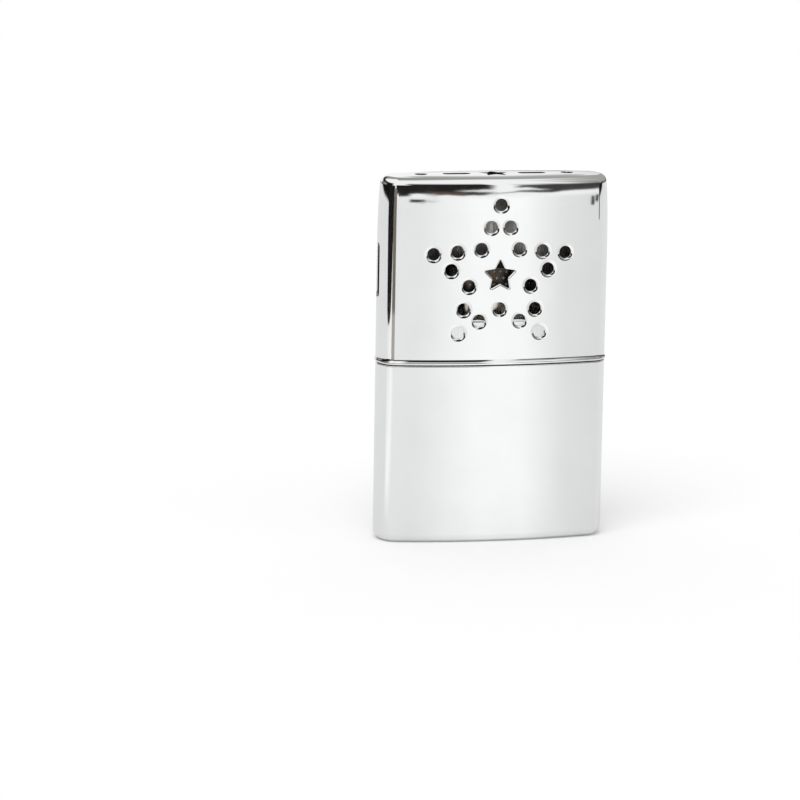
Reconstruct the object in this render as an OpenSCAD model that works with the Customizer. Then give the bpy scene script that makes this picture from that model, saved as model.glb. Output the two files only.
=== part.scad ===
// Pocket catalytic hand warmer: a flat fuel tank with a slip-on perforated lid,
// and a small catalyst burner that pushes onto the tank's oblong filler neck.
// Width runs along X, the front face looks along -Y, and the base stands on z = 0.

/* [Casing outline] */
// Width of the casing, end to end
case_w = 66; // [60:0.5:74]
// Depth of the casing at its middle
case_d = 20; // [18:0.5:26]
// Radius of the gently bulged front and back faces
face_r = 145; // [110:5:260]
// How far each narrow end bulges out past the edges where it meets the faces
end_bulge = 3.45; // [2.8:0.05:4.2]
// Radius that blends a face into an end
corner_r = 3.1; // [3:0.1:3.5]

/* [Tank] */
// Height of the tank from its base to the shoulder
tank_h = 51; // [40:0.5:62]
// Sheet thickness of the tank
tank_wall = 0.6; // [0.4:0.1:0.8]
// Radius round the tank's bottom edge
base_fillet = 2.4; // [1:0.1:2.5]
// Radius on the outer edge of the tank's shoulder
shoulder_fillet = 0.35; // [0.2:0.05:0.4]
// Height of the collar that the lid slides over
collar_h = 13; // [10:0.5:15]
// Depth of collar held inside the tank
collar_socket = 4; // [2:0.5:8]
// Sheet thickness of the collar
collar_wall = 0.6; // [0.4:0.1:0.8]
// Radius round the collar's top edge
collar_fillet = 1.2; // [0.8:0.1:1.3]

/* [Lid] */
// Height of the lid
lid_h = 52.5; // [46:0.5:60]
// Sheet thickness of the lid
lid_wall = 0.6; // [0.4:0.1:0.8]
// Radius round the lid's top edge
lid_fillet = 2.3; // [1:0.1:2.4]
// How far the lid's walls are drawn in by the time they reach that edge
lid_draw_in = 0.6; // [0.2:0.1:0.6]
// Height over which the lid's walls are drawn in
lid_draw_h = 27; // [15:0.5:34]
// Height of the rolled bead at the lid's lower edge
bead_h = 1.6; // [1:0.1:2.4]
// How far the bead stands out
bead_proud = 0.35; // [0.2:0.05:0.6]
// Sliding gap between the lid and the collar, on each side
slide_gap = 0.15; // [0.1:0.05:0.3]

/* [Lid air holes] */
// Height of the star pattern's centre above the lid's lower edge
star_up = 25.2; // [22:0.2:27]
// Distance from the pattern's centre to its five outer holes
star_tip_r = 19.85; // [15:0.05:21]
// Distance from the pattern's centre to its five inner holes
star_waist_r = 9.3; // [8:0.1:10.5]
// Diameter of each round hole of the pattern
star_hole_d = 3.6; // [2.4:0.1:4]
// Distance from centre to tip of a star-shaped opening
cut_tip_r = 4.7; // [3.5:0.1:5.5]
// Distance from centre to inner corner of a star-shaped opening
cut_waist_r = 2.35; // [1.6:0.05:2.8]
// Width of the upright slot in each end
end_slot_w = 3; // [2:0.1:4]
// Height of the upright slot in each end
end_slot_h = 15.4; // [10:0.2:20]
// Height of the end slots' middle above the lid's lower edge
end_slot_up = 26; // [24:0.5:32]
// Distance of the two slots in the top from its middle
top_slot_x = 10.8; // [10:0.1:12]
// Length of each slot in the top
top_slot_l = 8; // [5:0.1:9]
// Width of each slot in the top
top_slot_w = 3; // [1.4:0.1:3]
// Distance of the two round holes in the top from its middle
top_hole_x = 21; // [19:0.1:23]
// Diameter of each round hole in the top
top_hole_d = 3.6; // [2.4:0.1:4.4]

/* [Filler neck] */
// Length of the oblong neck
neck_l = 22; // [18:0.5:25]
// Width of the oblong neck
neck_w = 8.6; // [7.6:0.1:9.4]
// Height of the neck above the collar's deck
neck_h = 6.5; // [5:0.1:7.5]
// Sheet thickness of the neck
neck_wall = 0.5; // [0.4:0.1:0.7]
// How far the neck's foot reaches out under the deck
neck_foot = 1.4; // [0.8:0.1:1.6]
// Sheet thickness of the neck's foot
neck_foot_t = 0.5; // [0.4:0.1:0.8]

/* [Burner] */
// Gap between the burner's skirt and the neck, on each side
skirt_gap = 0.12; // [0.08:0.02:0.2]
// Sheet thickness of the skirt
skirt_wall = 0.4; // [0.3:0.05:0.6]
// Height of the skirt from the deck to its flange
skirt_h = 7.4; // [7:0.1:9]
// How far the skirt's flange stands out to carry the cover
flange_out = 1.2; // [0.8:0.1:1.6]
// Sheet thickness of the flange
flange_t = 0.5; // [0.4:0.05:0.8]
// Height of the perforated cover above the flange
cover_h = 7.2; // [6:0.1:9]
// Depth of the cover's rim that is pressed over the flange
cover_rim = 1.1; // [0.8:0.1:1.6]
// Sheet thickness of the cover
cover_wall = 0.35; // [0.3:0.05:0.5]
// Spacing of the cover's perforations
perf_pitch = 1.75; // [1.6:0.05:2.4]
// Diameter of each perforation
perf_d = 0.85; // [0.6:0.05:1]
// Thickness of the wire screen under the catalyst
screen_t = 0.4; // [0.3:0.05:0.6]
// Spacing of the openings in the screen
screen_pitch = 2.4; // [2:0.1:3.2]
// Diameter of each opening in the screen
screen_hole_d = 1.5; // [1:0.1:1.6]
// Gap round the catalyst mat inside the cover
mat_gap = 0.25; // [0.15:0.05:0.4]

/* [Fuel store] */
// Gap between the cotton and the metal round it
cotton_gap = 0.3; // [0.2:0.05:0.5]
// Gap between one cotton wad and the next
cotton_split = 0.4; // [0.3:0.05:0.8]
// Gap between the wick and the inside of the neck
wick_gap = 0.2; // [0.1:0.05:0.4]
// How far the wick stops below the neck's rim
wick_low = 0.6; // [0.3:0.1:1.5]

/* [Hidden] */

chrome_colour = [0.86, 0.87, 0.88];
steel_colour = [0.42, 0.42, 0.43];
cotton_colour = [0.94, 0.93, 0.9];
mat_colour = [0.97, 0.97, 0.95];

// Even numbers of steps along each face and each end, and steps along each corner.
face_steps = 16;
end_steps = 10;
corner_steps = 3;
// Steps round an edge fillet, round the lid's bead and up its drawn-in walls.
fillet_steps = 5;
bead_steps = 6;
draw_steps = 4;
// Overlap that lets a cut pass cleanly through a surface.
pierce = 1;
round_fn = 48;
hole_fn = 24;

// The outline is one arc for each face, one for each end and four corner arcs.
// An end arc runs through the end's middle and through the two edges beside it.
face_centre_y = face_r - case_d / 2;
edge_x = case_w / 2 - end_bulge;
edge_y = sqrt(face_r ^ 2 - edge_x ^ 2) - face_centre_y;
end_r = (end_bulge ^ 2 + edge_y ^ 2) / (2 * end_bulge);
end_centre_x = case_w / 2 - end_r;
// A corner arc's centre lies this far from the face's and the end's centres.
corner_to_face = face_r - corner_r;
corner_to_end = end_r - corner_r;
centres_apart = norm([end_centre_x, face_centre_y]);
corner_along = (corner_to_face ^ 2 - corner_to_end ^ 2 + centres_apart ^ 2) / (2 * centres_apart);
corner_off = sqrt(corner_to_face ^ 2 - corner_along ^ 2);
towards_end = [end_centre_x, face_centre_y] / centres_apart;
corner_centre = [
    corner_along * towards_end.x + corner_off * towards_end.y,
    -face_centre_y + corner_along * towards_end.y - corner_off * towards_end.x
];
// Directions, as seen from the arcs' centres, in which the arcs meet.
face_meets = atan2(corner_centre.y + face_centre_y, corner_centre.x);
end_meets = atan2(corner_centre.y, corner_centre.x - end_centre_x);

// Largest edge fillet that the outline's corners can take.
fillet_limit = corner_r - 0.1;
base_round = min(base_fillet, fillet_limit);
lid_round = min(lid_fillet, fillet_limit - lid_draw_in);
// Insets from the casing's outer face to the collar's faces.
collar_out = lid_wall + slide_gap;
collar_in = collar_out + collar_wall;
collar_round = min(collar_fillet, fillet_limit - collar_out);

deck_z = tank_h + collar_h;
lid_top_z = tank_h + lid_h;
star_z = tank_h + star_up;
neck_top_z = deck_z + neck_h;
neck_foot_z = deck_z - collar_wall - neck_foot_t;
// The burner's lengths and widths follow the neck, from the inside out.
skirt_in_l = neck_l + 2 * skirt_gap;
skirt_in_w = neck_w + 2 * skirt_gap;
skirt_out_l = skirt_in_l + 2 * skirt_wall;
skirt_out_w = skirt_in_w + 2 * skirt_wall;
flange_l = skirt_out_l + 2 * flange_out;
flange_w = skirt_out_w + 2 * flange_out;
cover_l = flange_l + 2 * cover_wall;
cover_w = flange_w + 2 * cover_wall;
flange_top_z = deck_z + skirt_h;
cover_top_z = flange_top_z + cover_h;
// Fuel store: the wads share the width inside the collar.
cotton_in = collar_in + cotton_gap;
cotton_top_z = neck_foot_z - cotton_gap;
cotton_wads = 3;
wad_pitch = case_w / cotton_wads;

// One quarter of the casing outline at a given inset, as [x, y] points with x and y
// both positive, from the middle of the back face to the middle of the end.
function quarter(inset) = concat(
    [for (i = [0 : face_steps / 2])
        let (a = 90 - (90 - face_meets) * i / (face_steps / 2))
        [(face_r - inset) * cos(a), (face_r - inset) * sin(a) - face_centre_y]],
    [for (i = [1 : corner_steps])
        let (a = face_meets - (face_meets - end_meets) * i / corner_steps)
        corner_centre + (corner_r - inset) * [cos(a), sin(a)]],
    [for (i = [1 : end_steps / 2])
        let (a = end_meets * (1 - i / (end_steps / 2)))
        [end_centre_x + (end_r - inset) * cos(a), (end_r - inset) * sin(a)]]
);

// The whole outline, anticlockwise, from the four mirrored quarters.
function outline(inset) = let (q = quarter(inset), last = len(q) - 1) concat(
    [for (i = [last : -1 : 0]) q[i]],
    [for (i = [1 : last]) [-q[i].x, q[i].y]],
    [for (i = [last - 1 : -1 : 0]) [-q[i].x, -q[i].y]],
    [for (i = [1 : last - 1]) [q[i].x, -q[i].y]]
);

// A convex edge arc as [inset, z] pairs, turning from the wall to the flat.
function edge_arc(inset, z, r, up) = [
    for (i = [0 : fillet_steps])
        let (a = 90 * i / fillet_steps)
        [inset + r * (1 - cos(a)), z + up * r * sin(a)]
];

// The lid's drawn-in walls as [inset, z] pairs: the inset grows as the fourth power of
// the height, so the wall leaves the upright smoothly.
function drawn_wall(inset, z) = [
    for (i = [0 : draw_steps])
        let (t = 0.3 + 0.7 * i / draw_steps)
        [inset + lid_draw_in * t ^ 4, z - lid_draw_h * (1 - t)]
];

function reversed(list) = [for (i = [len(list) - 1 : -1 : 0]) list[i]];
function without_first(list) = [for (i = [1 : len(list) - 1]) list[i]];

// A thin-walled body: the casing outline carried through [inset, z] pairs, from the
// middle of its inner face, over its rim and back to the middle of its outer face.
module shell(profile) {
    rings = [for (p = profile) [for (q = outline(p[0])) [q.x, q.y, p[1]]]];
    n = len(rings[0]);
    last = len(rings) - 1;
    polyhedron(
        points = [for (ring = rings) each ring],
        faces = concat(
            [[for (i = [0 : n - 1]) i]],
            [for (k = [0 : last - 1], i = [0 : n - 1])
                let (j = (i + 1) % n)
                [k * n + i, (k + 1) * n + i, (k + 1) * n + j, k * n + j]],
            [[for (i = [n - 1 : -1 : 0]) last * n + i]]
        ),
        convexity = 6
    );
}

// An oblong with round ends, length along X.
module oblong(l, w) {
    square([l - w, w], center = true);
    for (side = [-1, 1])
        translate([side * (l - w) / 2, 0]) circle(d = w, $fn = round_fn);
}

// A straight oblong tube, or a plate where its bore is left out.
module oblong_tube(l, w, wall, h) {
    difference() {
        linear_extrude(h) oblong(l, w);
        translate([0, 0, -pierce])
            linear_extrude(h + 2 * pierce) oblong(l - 2 * wall, w - 2 * wall);
    }
}

// A five-pointed star with one tip along +Y.
module star(tip_r, waist_r) {
    polygon([for (i = [0 : 9])
        (i % 2 == 0 ? tip_r : waist_r) * [-sin(36 * i), cos(36 * i)]]);
}

// Places along the perforated pattern: tips, inner corners and midway points of a star.
function star_places(tip_r, waist_r) =
    let (corners = [for (i = [0 : 9])
        (i % 2 == 0 ? tip_r : waist_r) * [sin(36 * i), cos(36 * i)]])
    concat(corners, [for (i = [0 : 9]) (corners[i] + corners[(i + 1) % 10]) / 2]);

module tank_shell() {
    shoulder_under = tank_h - tank_wall;
    outer_base = reversed(edge_arc(0, base_round, base_round, -1));
    inner_r = max(base_round - tank_wall, 0.2);
    inner_base = edge_arc(tank_wall, tank_wall + inner_r, inner_r, -1);
    color(chrome_colour)
        shell(concat(
            reversed(inner_base),
            [[tank_wall, shoulder_under]],
            [[collar_out, shoulder_under], [collar_out, tank_h]],
            reversed(edge_arc(0, tank_h - shoulder_fillet, shoulder_fillet, 1)),
            reversed(outer_base)
        ));
}

module collar_cap() {
    top_r = max(collar_round - collar_wall, 0.2);
    color(chrome_colour)
        difference() {
            shell(concat(
                reversed(edge_arc(collar_in, deck_z - collar_wall - top_r, top_r, 1)),
                [[collar_in, tank_h - collar_socket], [collar_out, tank_h - collar_socket]],
                edge_arc(collar_out, deck_z - collar_round, collar_round, 1)
            ));
            translate([0, 0, deck_z - collar_wall - pierce])
                linear_extrude(collar_wall + 2 * pierce) oblong(neck_l, neck_w);
        }
}

module filler_neck() {
    color(chrome_colour) {
        translate([0, 0, neck_foot_z])
            oblong_tube(neck_l, neck_w, neck_wall, neck_top_z - neck_foot_z);
        translate([0, 0, neck_foot_z])
            oblong_tube(neck_l + 2 * neck_foot, neck_w + 2 * neck_foot,
                neck_foot + neck_wall, neck_foot_t);
    }
}

module neck_wick() {
    inner = neck_wall + wick_gap;
    color(cotton_colour)
        translate([0, 0, cotton_top_z])
            linear_extrude(neck_top_z - wick_low - cotton_top_z)
                oblong(neck_l - 2 * inner, neck_w - 2 * inner);
}

// One wad of the cotton that soaks up the fuel; index 0 is the left one.
module cotton_wad(index) {
    floor_z = tank_wall + cotton_gap;
    color(cotton_colour)
        translate([0, 0, floor_z])
            linear_extrude(cotton_top_z - floor_z)
                intersection() {
                    polygon(outline(cotton_in));
                    translate([(index - (cotton_wads - 1) / 2) * wad_pitch, 0])
                        square([wad_pitch - cotton_split, case_d], center = true);
                }
}

module cotton_left() { cotton_wad(0); }
module cotton_middle() { cotton_wad(1); }
module cotton_right() { cotton_wad(2); }

module burner_base() {
    color(steel_colour) {
        translate([0, 0, deck_z])
            oblong_tube(skirt_out_l, skirt_out_w, skirt_wall, skirt_h);
        translate([0, 0, flange_top_z - flange_t])
            oblong_tube(flange_l, flange_w, flange_out + skirt_wall, flange_t);
    }
}

module mat_screen() {
    columns = floor((flange_l - 2 * screen_pitch) / screen_pitch / 2);
    rows = floor((flange_w - 2 * screen_pitch) / screen_pitch / 2);
    color(steel_colour)
        translate([0, 0, flange_top_z])
            linear_extrude(screen_t)
                difference() {
                    oblong(flange_l - 2 * mat_gap, flange_w - 2 * mat_gap);
                    for (i = [-columns : columns], j = [-rows : rows])
                        translate([i, j] * screen_pitch)
                            circle(d = screen_hole_d, $fn = hole_fn);
                }
}

module catalyst_mat() {
    z = flange_top_z + screen_t;
    color(mat_colour)
        translate([0, 0, z])
            linear_extrude(cover_top_z - cover_wall - mat_gap - z)
                oblong(flange_l - 2 * mat_gap, flange_w - 2 * mat_gap);
}

module burner_cover() {
    rim_z = flange_top_z - cover_rim;
    straight = cover_l - cover_w;
    side_columns = floor(straight / 2 / perf_pitch);
    side_rows = floor((cover_h - cover_wall - perf_d / 2) / perf_pitch);
    top_rows = floor((cover_w / 2 - perf_pitch) / perf_pitch);
    first_z = flange_top_z + perf_pitch;
    // The perforations go on round the ends at the same spacing.
    end_turn = perf_pitch / (cover_w / 2) * 180 / PI;
    end_columns = floor(90 / end_turn - 0.5);
    color(steel_colour)
        difference() {
            union() {
                translate([0, 0, rim_z])
                    oblong_tube(cover_l, cover_w, cover_wall, cover_top_z - rim_z);
                translate([0, 0, cover_top_z - cover_wall])
                    linear_extrude(cover_wall) oblong(cover_l, cover_w);
            }
            // Staggered rows through both long sides.
            for (row = [0 : side_rows - 1], i = [-side_columns : side_columns])
                translate([(i + (row % 2) / 2) * perf_pitch, 0, first_z + row * perf_pitch])
                    rotate([90, 0, 0])
                        cylinder(d = perf_d, h = cover_w + 2 * pierce, center = true, $fn = hole_fn);
            // The same rows round both ends.
            for (side = [0, 180], row = [0 : side_rows - 1], i = [-end_columns : end_columns])
                translate([cos(side) * straight / 2, 0, first_z + row * perf_pitch])
                    rotate([0, 90, side + (i + (row % 2) / 2) * end_turn])
                        translate([0, 0, cover_w / 4])
                            cylinder(d = perf_d, h = cover_w / 2, $fn = hole_fn);
            // Rows through the top.
            for (row = [-top_rows : top_rows], i = [-side_columns : side_columns])
                translate([(i + (abs(row) % 2) / 2) * perf_pitch, row * perf_pitch, cover_top_z])
                    cylinder(d = perf_d, h = 4 * cover_wall, center = true, $fn = hole_fn);
        }
}

module lid_shell() {
    inner_r = max(lid_round - lid_wall, 0.2);
    wall_top_z = lid_top_z - lid_round;
    bead_r = ((bead_h / 2) ^ 2 + bead_proud ^ 2) / (2 * bead_proud);
    bead_half = asin(bead_h / 2 / bead_r);
    bead = [for (i = [0 : bead_steps])
        let (a = bead_half * (2 * i / bead_steps - 1))
        [bead_r * cos(bead_half) - bead_r * cos(a), tank_h + bead_h / 2 + bead_r * sin(a)]];
    color(chrome_colour)
        difference() {
            shell(concat(
                reversed(without_first(edge_arc(lid_wall + lid_draw_in,
                    lid_top_z - lid_wall - inner_r, inner_r, 1))),
                reversed(drawn_wall(lid_wall, wall_top_z)),
                [[lid_wall, tank_h]],
                bead,
                drawn_wall(0, wall_top_z),
                without_first(edge_arc(lid_draw_in, wall_top_z, lid_round, 1))
            ));
            // The pattern goes through the front face only; the back is plain.
            for (p = star_places(star_tip_r, star_waist_r))
                translate([p.x, 0, star_z + p.y])
                    rotate([90, 0, 0])
                        cylinder(d = star_hole_d, h = case_d / 2 + pierce, $fn = hole_fn);
            translate([0, 0, star_z])
                rotate([90, 0, 0])
                    linear_extrude(case_d / 2 + pierce) star(cut_tip_r, cut_waist_r);
            translate([-case_w / 2 - pierce, 0, tank_h + end_slot_up])
                rotate([0, 90, 0])
                    linear_extrude(case_w + 2 * pierce) oblong(end_slot_h, end_slot_w);
            translate([0, 0, lid_top_z - lid_wall - pierce])
                linear_extrude(lid_wall + 2 * pierce) {
                    star(cut_tip_r, cut_waist_r);
                    for (side = [-1, 1]) {
                        translate([side * top_slot_x, 0]) oblong(top_slot_l, top_slot_w);
                        translate([side * top_hole_x, 0]) circle(d = top_hole_d, $fn = hole_fn);
                    }
                }
        }
}

tank_shell();
collar_cap();
filler_neck();
neck_wick();
cotton_left();
cotton_middle();
cotton_right();
burner_base();
mat_screen();
catalyst_mat();
burner_cover();
lid_shell();
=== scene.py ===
"""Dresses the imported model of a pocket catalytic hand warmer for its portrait.

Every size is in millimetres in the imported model's frame: the origin is at the middle of the
base, Z points up and the front looks along -Y. Meshes become metres when they are written.
"""

import logging
import math
from collections.abc import Callable
from dataclasses import dataclass, field
from enum import Enum
from functools import cached_property

import bpy
import numpy as np
from mathutils import Matrix, Vector
from mathutils.geometry import delaunay_2d_cdt

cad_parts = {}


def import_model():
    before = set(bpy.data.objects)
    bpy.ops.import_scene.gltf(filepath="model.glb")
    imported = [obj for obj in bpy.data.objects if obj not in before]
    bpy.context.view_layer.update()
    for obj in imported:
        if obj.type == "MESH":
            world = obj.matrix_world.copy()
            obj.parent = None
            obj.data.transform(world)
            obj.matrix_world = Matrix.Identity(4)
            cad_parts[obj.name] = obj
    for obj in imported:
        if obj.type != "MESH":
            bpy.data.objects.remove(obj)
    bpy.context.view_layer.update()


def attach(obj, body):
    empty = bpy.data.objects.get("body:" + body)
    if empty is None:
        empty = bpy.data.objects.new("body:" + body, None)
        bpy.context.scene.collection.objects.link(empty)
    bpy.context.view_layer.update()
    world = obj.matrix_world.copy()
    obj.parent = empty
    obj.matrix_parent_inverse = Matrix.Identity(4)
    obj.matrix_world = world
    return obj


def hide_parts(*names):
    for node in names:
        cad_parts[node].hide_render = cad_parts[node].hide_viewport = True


LOG = logging.getLogger("hand_warmer")
MM = 0.001
# Vertices closer than this are one vertex, in millimetres.
WELD = 1e-4
# Spacing of the columns on an oblong's five stretches, from the middle of its right end.
OBLONG_STEPS = [0.5, 0.9, 0.5, 0.9, 0.5]
# Sides of a round perforation in the burner's cover.
PERFORATION_SIDES = 16

Array = np.ndarray
Material, Piece = bpy.types.Material, bpy.types.Object
Tree, Node, Socket = bpy.types.NodeTree, bpy.types.Node, bpy.types.NodeSocket
# A sheet's outer face: takes two parameters, gives points and outward normals.
Surface = Callable[[Array, Array], tuple[Array, Array]]


# ---------------- colours and nodes


def linear(colour: str) -> tuple[float, float, float, float]:
    """Turns a colour from sRGB to linear light.

    Args:
        colour: An sRGB colour such as "#E8EAEB".

    Returns:
        Red, green, blue and an alpha of one.
    """
    part = np.array([int(colour[i : i + 2], 16) for i in (1, 3, 5)]) / 255
    light = np.where(part <= 0.04045, part / 12.92, ((part + 0.055) / 1.055) ** 2.4)
    return (*light.tolist(), 1.0)


def add_node(
    tree: Tree,
    kind: str,
    inputs: dict[str | int, object] | None = None,
    settings: dict[str, object] | None = None,
) -> Node:
    """Adds one node with its settings, values and links.

    Args:
        tree: The node tree that gets the node.
        kind: Blender's name for the node's type, without its first word, ShaderNode.
        inputs: For each input, by name or number, a value, another node's output, or a node,
            which stands for the first of its outputs that is in use.
        settings: The node's properties; "stops" is a colour ramp's (position, colour) list.

    Returns:
        The new node.
    """
    node = tree.nodes.new("ShaderNode" + kind)
    for name, value in (settings or {}).items():
        if name != "stops":
            setattr(node, name, value)
            continue
        stops = node.color_ramp.elements
        stops[0].position, stops[0].color = value[0][0], linear(value[0][1])
        stops[-1].position, stops[-1].color = value[-1][0], linear(value[-1][1])
        for position, colour in value[1:-1]:
            stops.new(position).color = linear(colour)
    for key, value in (inputs or {}).items():
        if isinstance(value, Node):
            value = next(output for output in value.outputs if output.enabled)
        if isinstance(value, Socket):
            tree.links.new(value, node.inputs[key])
        else:
            node.inputs[key].default_value = value
    return node


# ---------------- finishes


@dataclass(frozen=True)
class Finish:
    """What every finish has: the material's name and its shader's plain values."""

    name: str
    colour: str
    metallic: float = 0.0
    roughness: float = 0.5

    def start(self) -> tuple[Material, Tree, Socket]:
        """Makes the material, as yet without its shader.

        Returns:
            The material, its empty node tree and the object's coordinates in metres.
        """
        material = bpy.data.materials.new(self.name)
        material.use_nodes = True
        tree = material.node_tree
        tree.nodes.clear()
        return material, tree, add_node(tree, "TexCoord").outputs["Object"]

    def complete(self, material: Material, inputs: dict[str, object]) -> Material:
        """Adds the shader that the finish's nodes lead to.

        Args:
            material: The material that start() made.
            inputs: What its shader takes instead of the finish's plain values.

        Returns:
            The finished material.
        """
        plain = {
            "Base Color": linear(self.colour),
            "Metallic": self.metallic,
            "Roughness": self.roughness,
        }
        shader = add_node(material.node_tree, "BsdfPrincipled", {**plain, **inputs})
        add_node(material.node_tree, "OutputMaterial", {"Surface": shader})
        return material

    def dress(self) -> Material:
        """Gives the finished material."""
        raise NotImplementedError


def per_metre(size_mm: float) -> float:
    """Gives the texture scale, in repeats per metre, of a detail of that size in mm."""
    return 1.0 / (size_mm * MM)


@dataclass(frozen=True)
class BrightChrome(Finish):
    """Chrome plate on polished sheet brass, drawn and buffed.

    The eye sees a cool mirror whose lines waver a little where the thin sheet was pressed,
    with faint smears from fingers and hairlines that only break up the sharpest highlights.
    """

    smeared: str = "#EBECEC"
    smear_mm: float = 11.0
    smear_span: tuple[float, float] = (0.45, 0.75)
    smear_roughness: float = 0.05
    hairline_mm: float = 0.55
    hairline_depth_mm: float = 0.0002
    waver_mm: float = 16.0
    waver_depth_mm: float = 0.012

    def dress(self) -> Material:
        """Mirror roughness rises in smears; two bumps give the waver and the hairlines.

        Returns:
            The finished material.
        """
        material, tree, place = self.start()
        scale = per_metre(self.smear_mm)
        smear = add_node(tree, "TexNoise", {"Vector": place, "Scale": scale, "Detail": 4.0})
        rough = add_node(
            tree,
            "MapRange",
            {
                "Value": smear,
                "From Min": self.smear_span[0],
                "From Max": self.smear_span[1],
                "To Min": self.roughness,
                "To Max": self.roughness + self.smear_roughness,
            },
            {"interpolation_type": "SMOOTHSTEP"},
        )
        colours = {6: linear(self.colour), 7: linear(self.smeared)}
        tint = add_node(tree, "Mix", {0: smear, **colours}, {"data_type": "RGBA"})
        scale = per_metre(self.waver_mm)
        waver = add_node(tree, "TexNoise", {"Vector": place, "Scale": scale, "Detail": 1.0})
        depth = self.waver_depth_mm * MM
        sway = add_node(tree, "Bump", {"Strength": 1.0, "Distance": depth, "Height": waver})
        # Real hairlines are microns wide; these are as broad as a pixel so that they show.
        lay = {"Rotation": (0.2, 0.1, 0.4), "Scale": (1.0, 1.0, 0.06)}
        stretch = add_node(tree, "Mapping", {"Vector": place, **lay})
        scale = per_metre(self.hairline_mm)
        lines = add_node(tree, "TexNoise", {"Vector": stretch, "Scale": scale, "Detail": 2.0})
        depth = self.hairline_depth_mm * MM
        buffed = add_node(
            tree, "Bump", {"Strength": 0.5, "Distance": depth, "Height": lines, "Normal": sway}
        )
        return self.complete(material, {"Base Color": tint, "Roughness": rough, "Normal": buffed})


@dataclass(frozen=True)
class RubbedMetal(Finish):
    """Plated or bare sheet that another sheet slides on, or that was left unpolished.

    The eye sees a duller metal with streaks along the sliding direction, Z, and patches
    where the colour has dulled.
    """

    dulled: str = "#9A9892"
    patch_mm: float = 5.0
    patch_span: tuple[float, float] = (0.4, 0.7)
    streak_mm: float = 0.5
    streak_span: tuple[float, float] = (0.3, 0.7)
    streak_depth_mm: float = 0.002
    streak_roughness: float = 0.15

    def dress(self) -> Material:
        """Patches mix two colours; stretched noise gives streaks of roughness and bump.

        Returns:
            The finished material.
        """
        material, tree, place = self.start()
        scale = per_metre(self.patch_mm)
        patch = add_node(tree, "TexNoise", {"Vector": place, "Scale": scale, "Detail": 5.0})
        low, high = self.patch_span
        share = add_node(tree, "MapRange", {"Value": patch, "From Min": low, "From Max": high})
        colours = {6: linear(self.colour), 7: linear(self.dulled)}
        tint = add_node(tree, "Mix", {0: share, **colours}, {"data_type": "RGBA"})
        stretch = add_node(tree, "Mapping", {"Vector": place, "Scale": (1.0, 1.0, 0.05)})
        scale = per_metre(self.streak_mm)
        streak = add_node(tree, "TexNoise", {"Vector": stretch, "Scale": scale, "Detail": 3.0})
        rough = add_node(
            tree,
            "MapRange",
            {
                "Value": streak,
                "From Min": self.streak_span[0],
                "From Max": self.streak_span[1],
                "To Min": self.roughness,
                "To Max": self.roughness + self.streak_roughness,
            },
        )
        depth = self.streak_depth_mm * MM
        bump = add_node(tree, "Bump", {"Strength": 1.0, "Distance": depth, "Height": streak})
        return self.complete(material, {"Base Color": tint, "Roughness": rough, "Normal": bump})


@dataclass(frozen=True)
class HeatedSteel(Finish):
    """Perforated steel that the catalyst has browned.

    The eye sees a dark, satin metal, straw and bronze in places, with fine pits.
    """

    browned: str = "#5E5142"
    blued: str = "#3E4046"
    cloud_mm: float = 6.0
    pit_mm: float = 0.35
    pit_depth_mm: float = 0.006
    pit_roughness: tuple[float, float] = (-0.08, 0.15)

    def dress(self) -> Material:
        """Clouds run from grey over bronze to blue grey; fine noise pits the surface.

        Returns:
            The finished material.
        """
        material, tree, place = self.start()
        scale = per_metre(self.cloud_mm)
        cloud = add_node(tree, "TexNoise", {"Vector": place, "Scale": scale, "Detail": 4.0})
        stops = [(0.35, self.colour), (0.5, self.browned), (0.68, self.blued)]
        tint = add_node(tree, "ValToRGB", {"Fac": cloud}, {"stops": stops})
        scale = per_metre(self.pit_mm)
        pits = add_node(tree, "TexNoise", {"Vector": place, "Scale": scale, "Detail": 3.0})
        low, high = (self.roughness + change for change in self.pit_roughness)
        rough = add_node(tree, "MapRange", {"Value": pits, "To Min": low, "To Max": high})
        depth = self.pit_depth_mm * MM
        bump = add_node(tree, "Bump", {"Strength": 0.6, "Distance": depth, "Height": pits})
        return self.complete(material, {"Base Color": tint, "Roughness": rough, "Normal": bump})


@dataclass(frozen=True)
class Fibre(Finish):
    """A mass of loose fibres: glass wool, wool felt or cotton wool.

    The eye sees a matt, slightly shaggy white with crossing strands and faint stains.
    """

    stain: str = "#D8D3C6"
    stain_mm: float = 4.0
    stain_span: tuple[float, float] = (0.45, 0.8)
    strand_mm: float = 0.3
    strand_depth_mm: float = 0.12
    sheen: float = 0.35

    def dress(self) -> Material:
        """Two crossed, stretched noises give strands; a broad one gives the stains.

        Returns:
            The finished material.
        """
        material, tree, place = self.start()
        scale = per_metre(self.strand_mm)
        strands = []
        for turn in ((0.5, 0.9, 0.2), (-0.7, 0.3, 1.1)):
            lay = {"Rotation": turn, "Scale": (1.0, 1.0, 0.12)}
            way = add_node(tree, "Mapping", {"Vector": place, **lay})
            weave = {"Vector": way, "Scale": scale, "Detail": 3.0, "Distortion": 0.6}
            strands.append(add_node(tree, "TexNoise", weave))
        crossed = add_node(tree, "Math", dict(enumerate(strands)), {"operation": "MAXIMUM"})
        scale = per_metre(self.stain_mm)
        stained = add_node(tree, "TexNoise", {"Vector": place, "Scale": scale, "Detail": 3.0})
        low, high = self.stain_span
        share = add_node(tree, "MapRange", {"Value": stained, "From Min": low, "From Max": high})
        colours = {6: linear(self.colour), 7: linear(self.stain)}
        tint = add_node(tree, "Mix", {0: share, **colours}, {"data_type": "RGBA"})
        depth = self.strand_depth_mm * MM
        bump = add_node(tree, "Bump", {"Strength": 0.8, "Distance": depth, "Height": crossed})
        return self.complete(
            material, {"Base Color": tint, "Sheen Weight": self.sheen, "Normal": bump}
        )


# ---------------- outlines and openings


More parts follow.
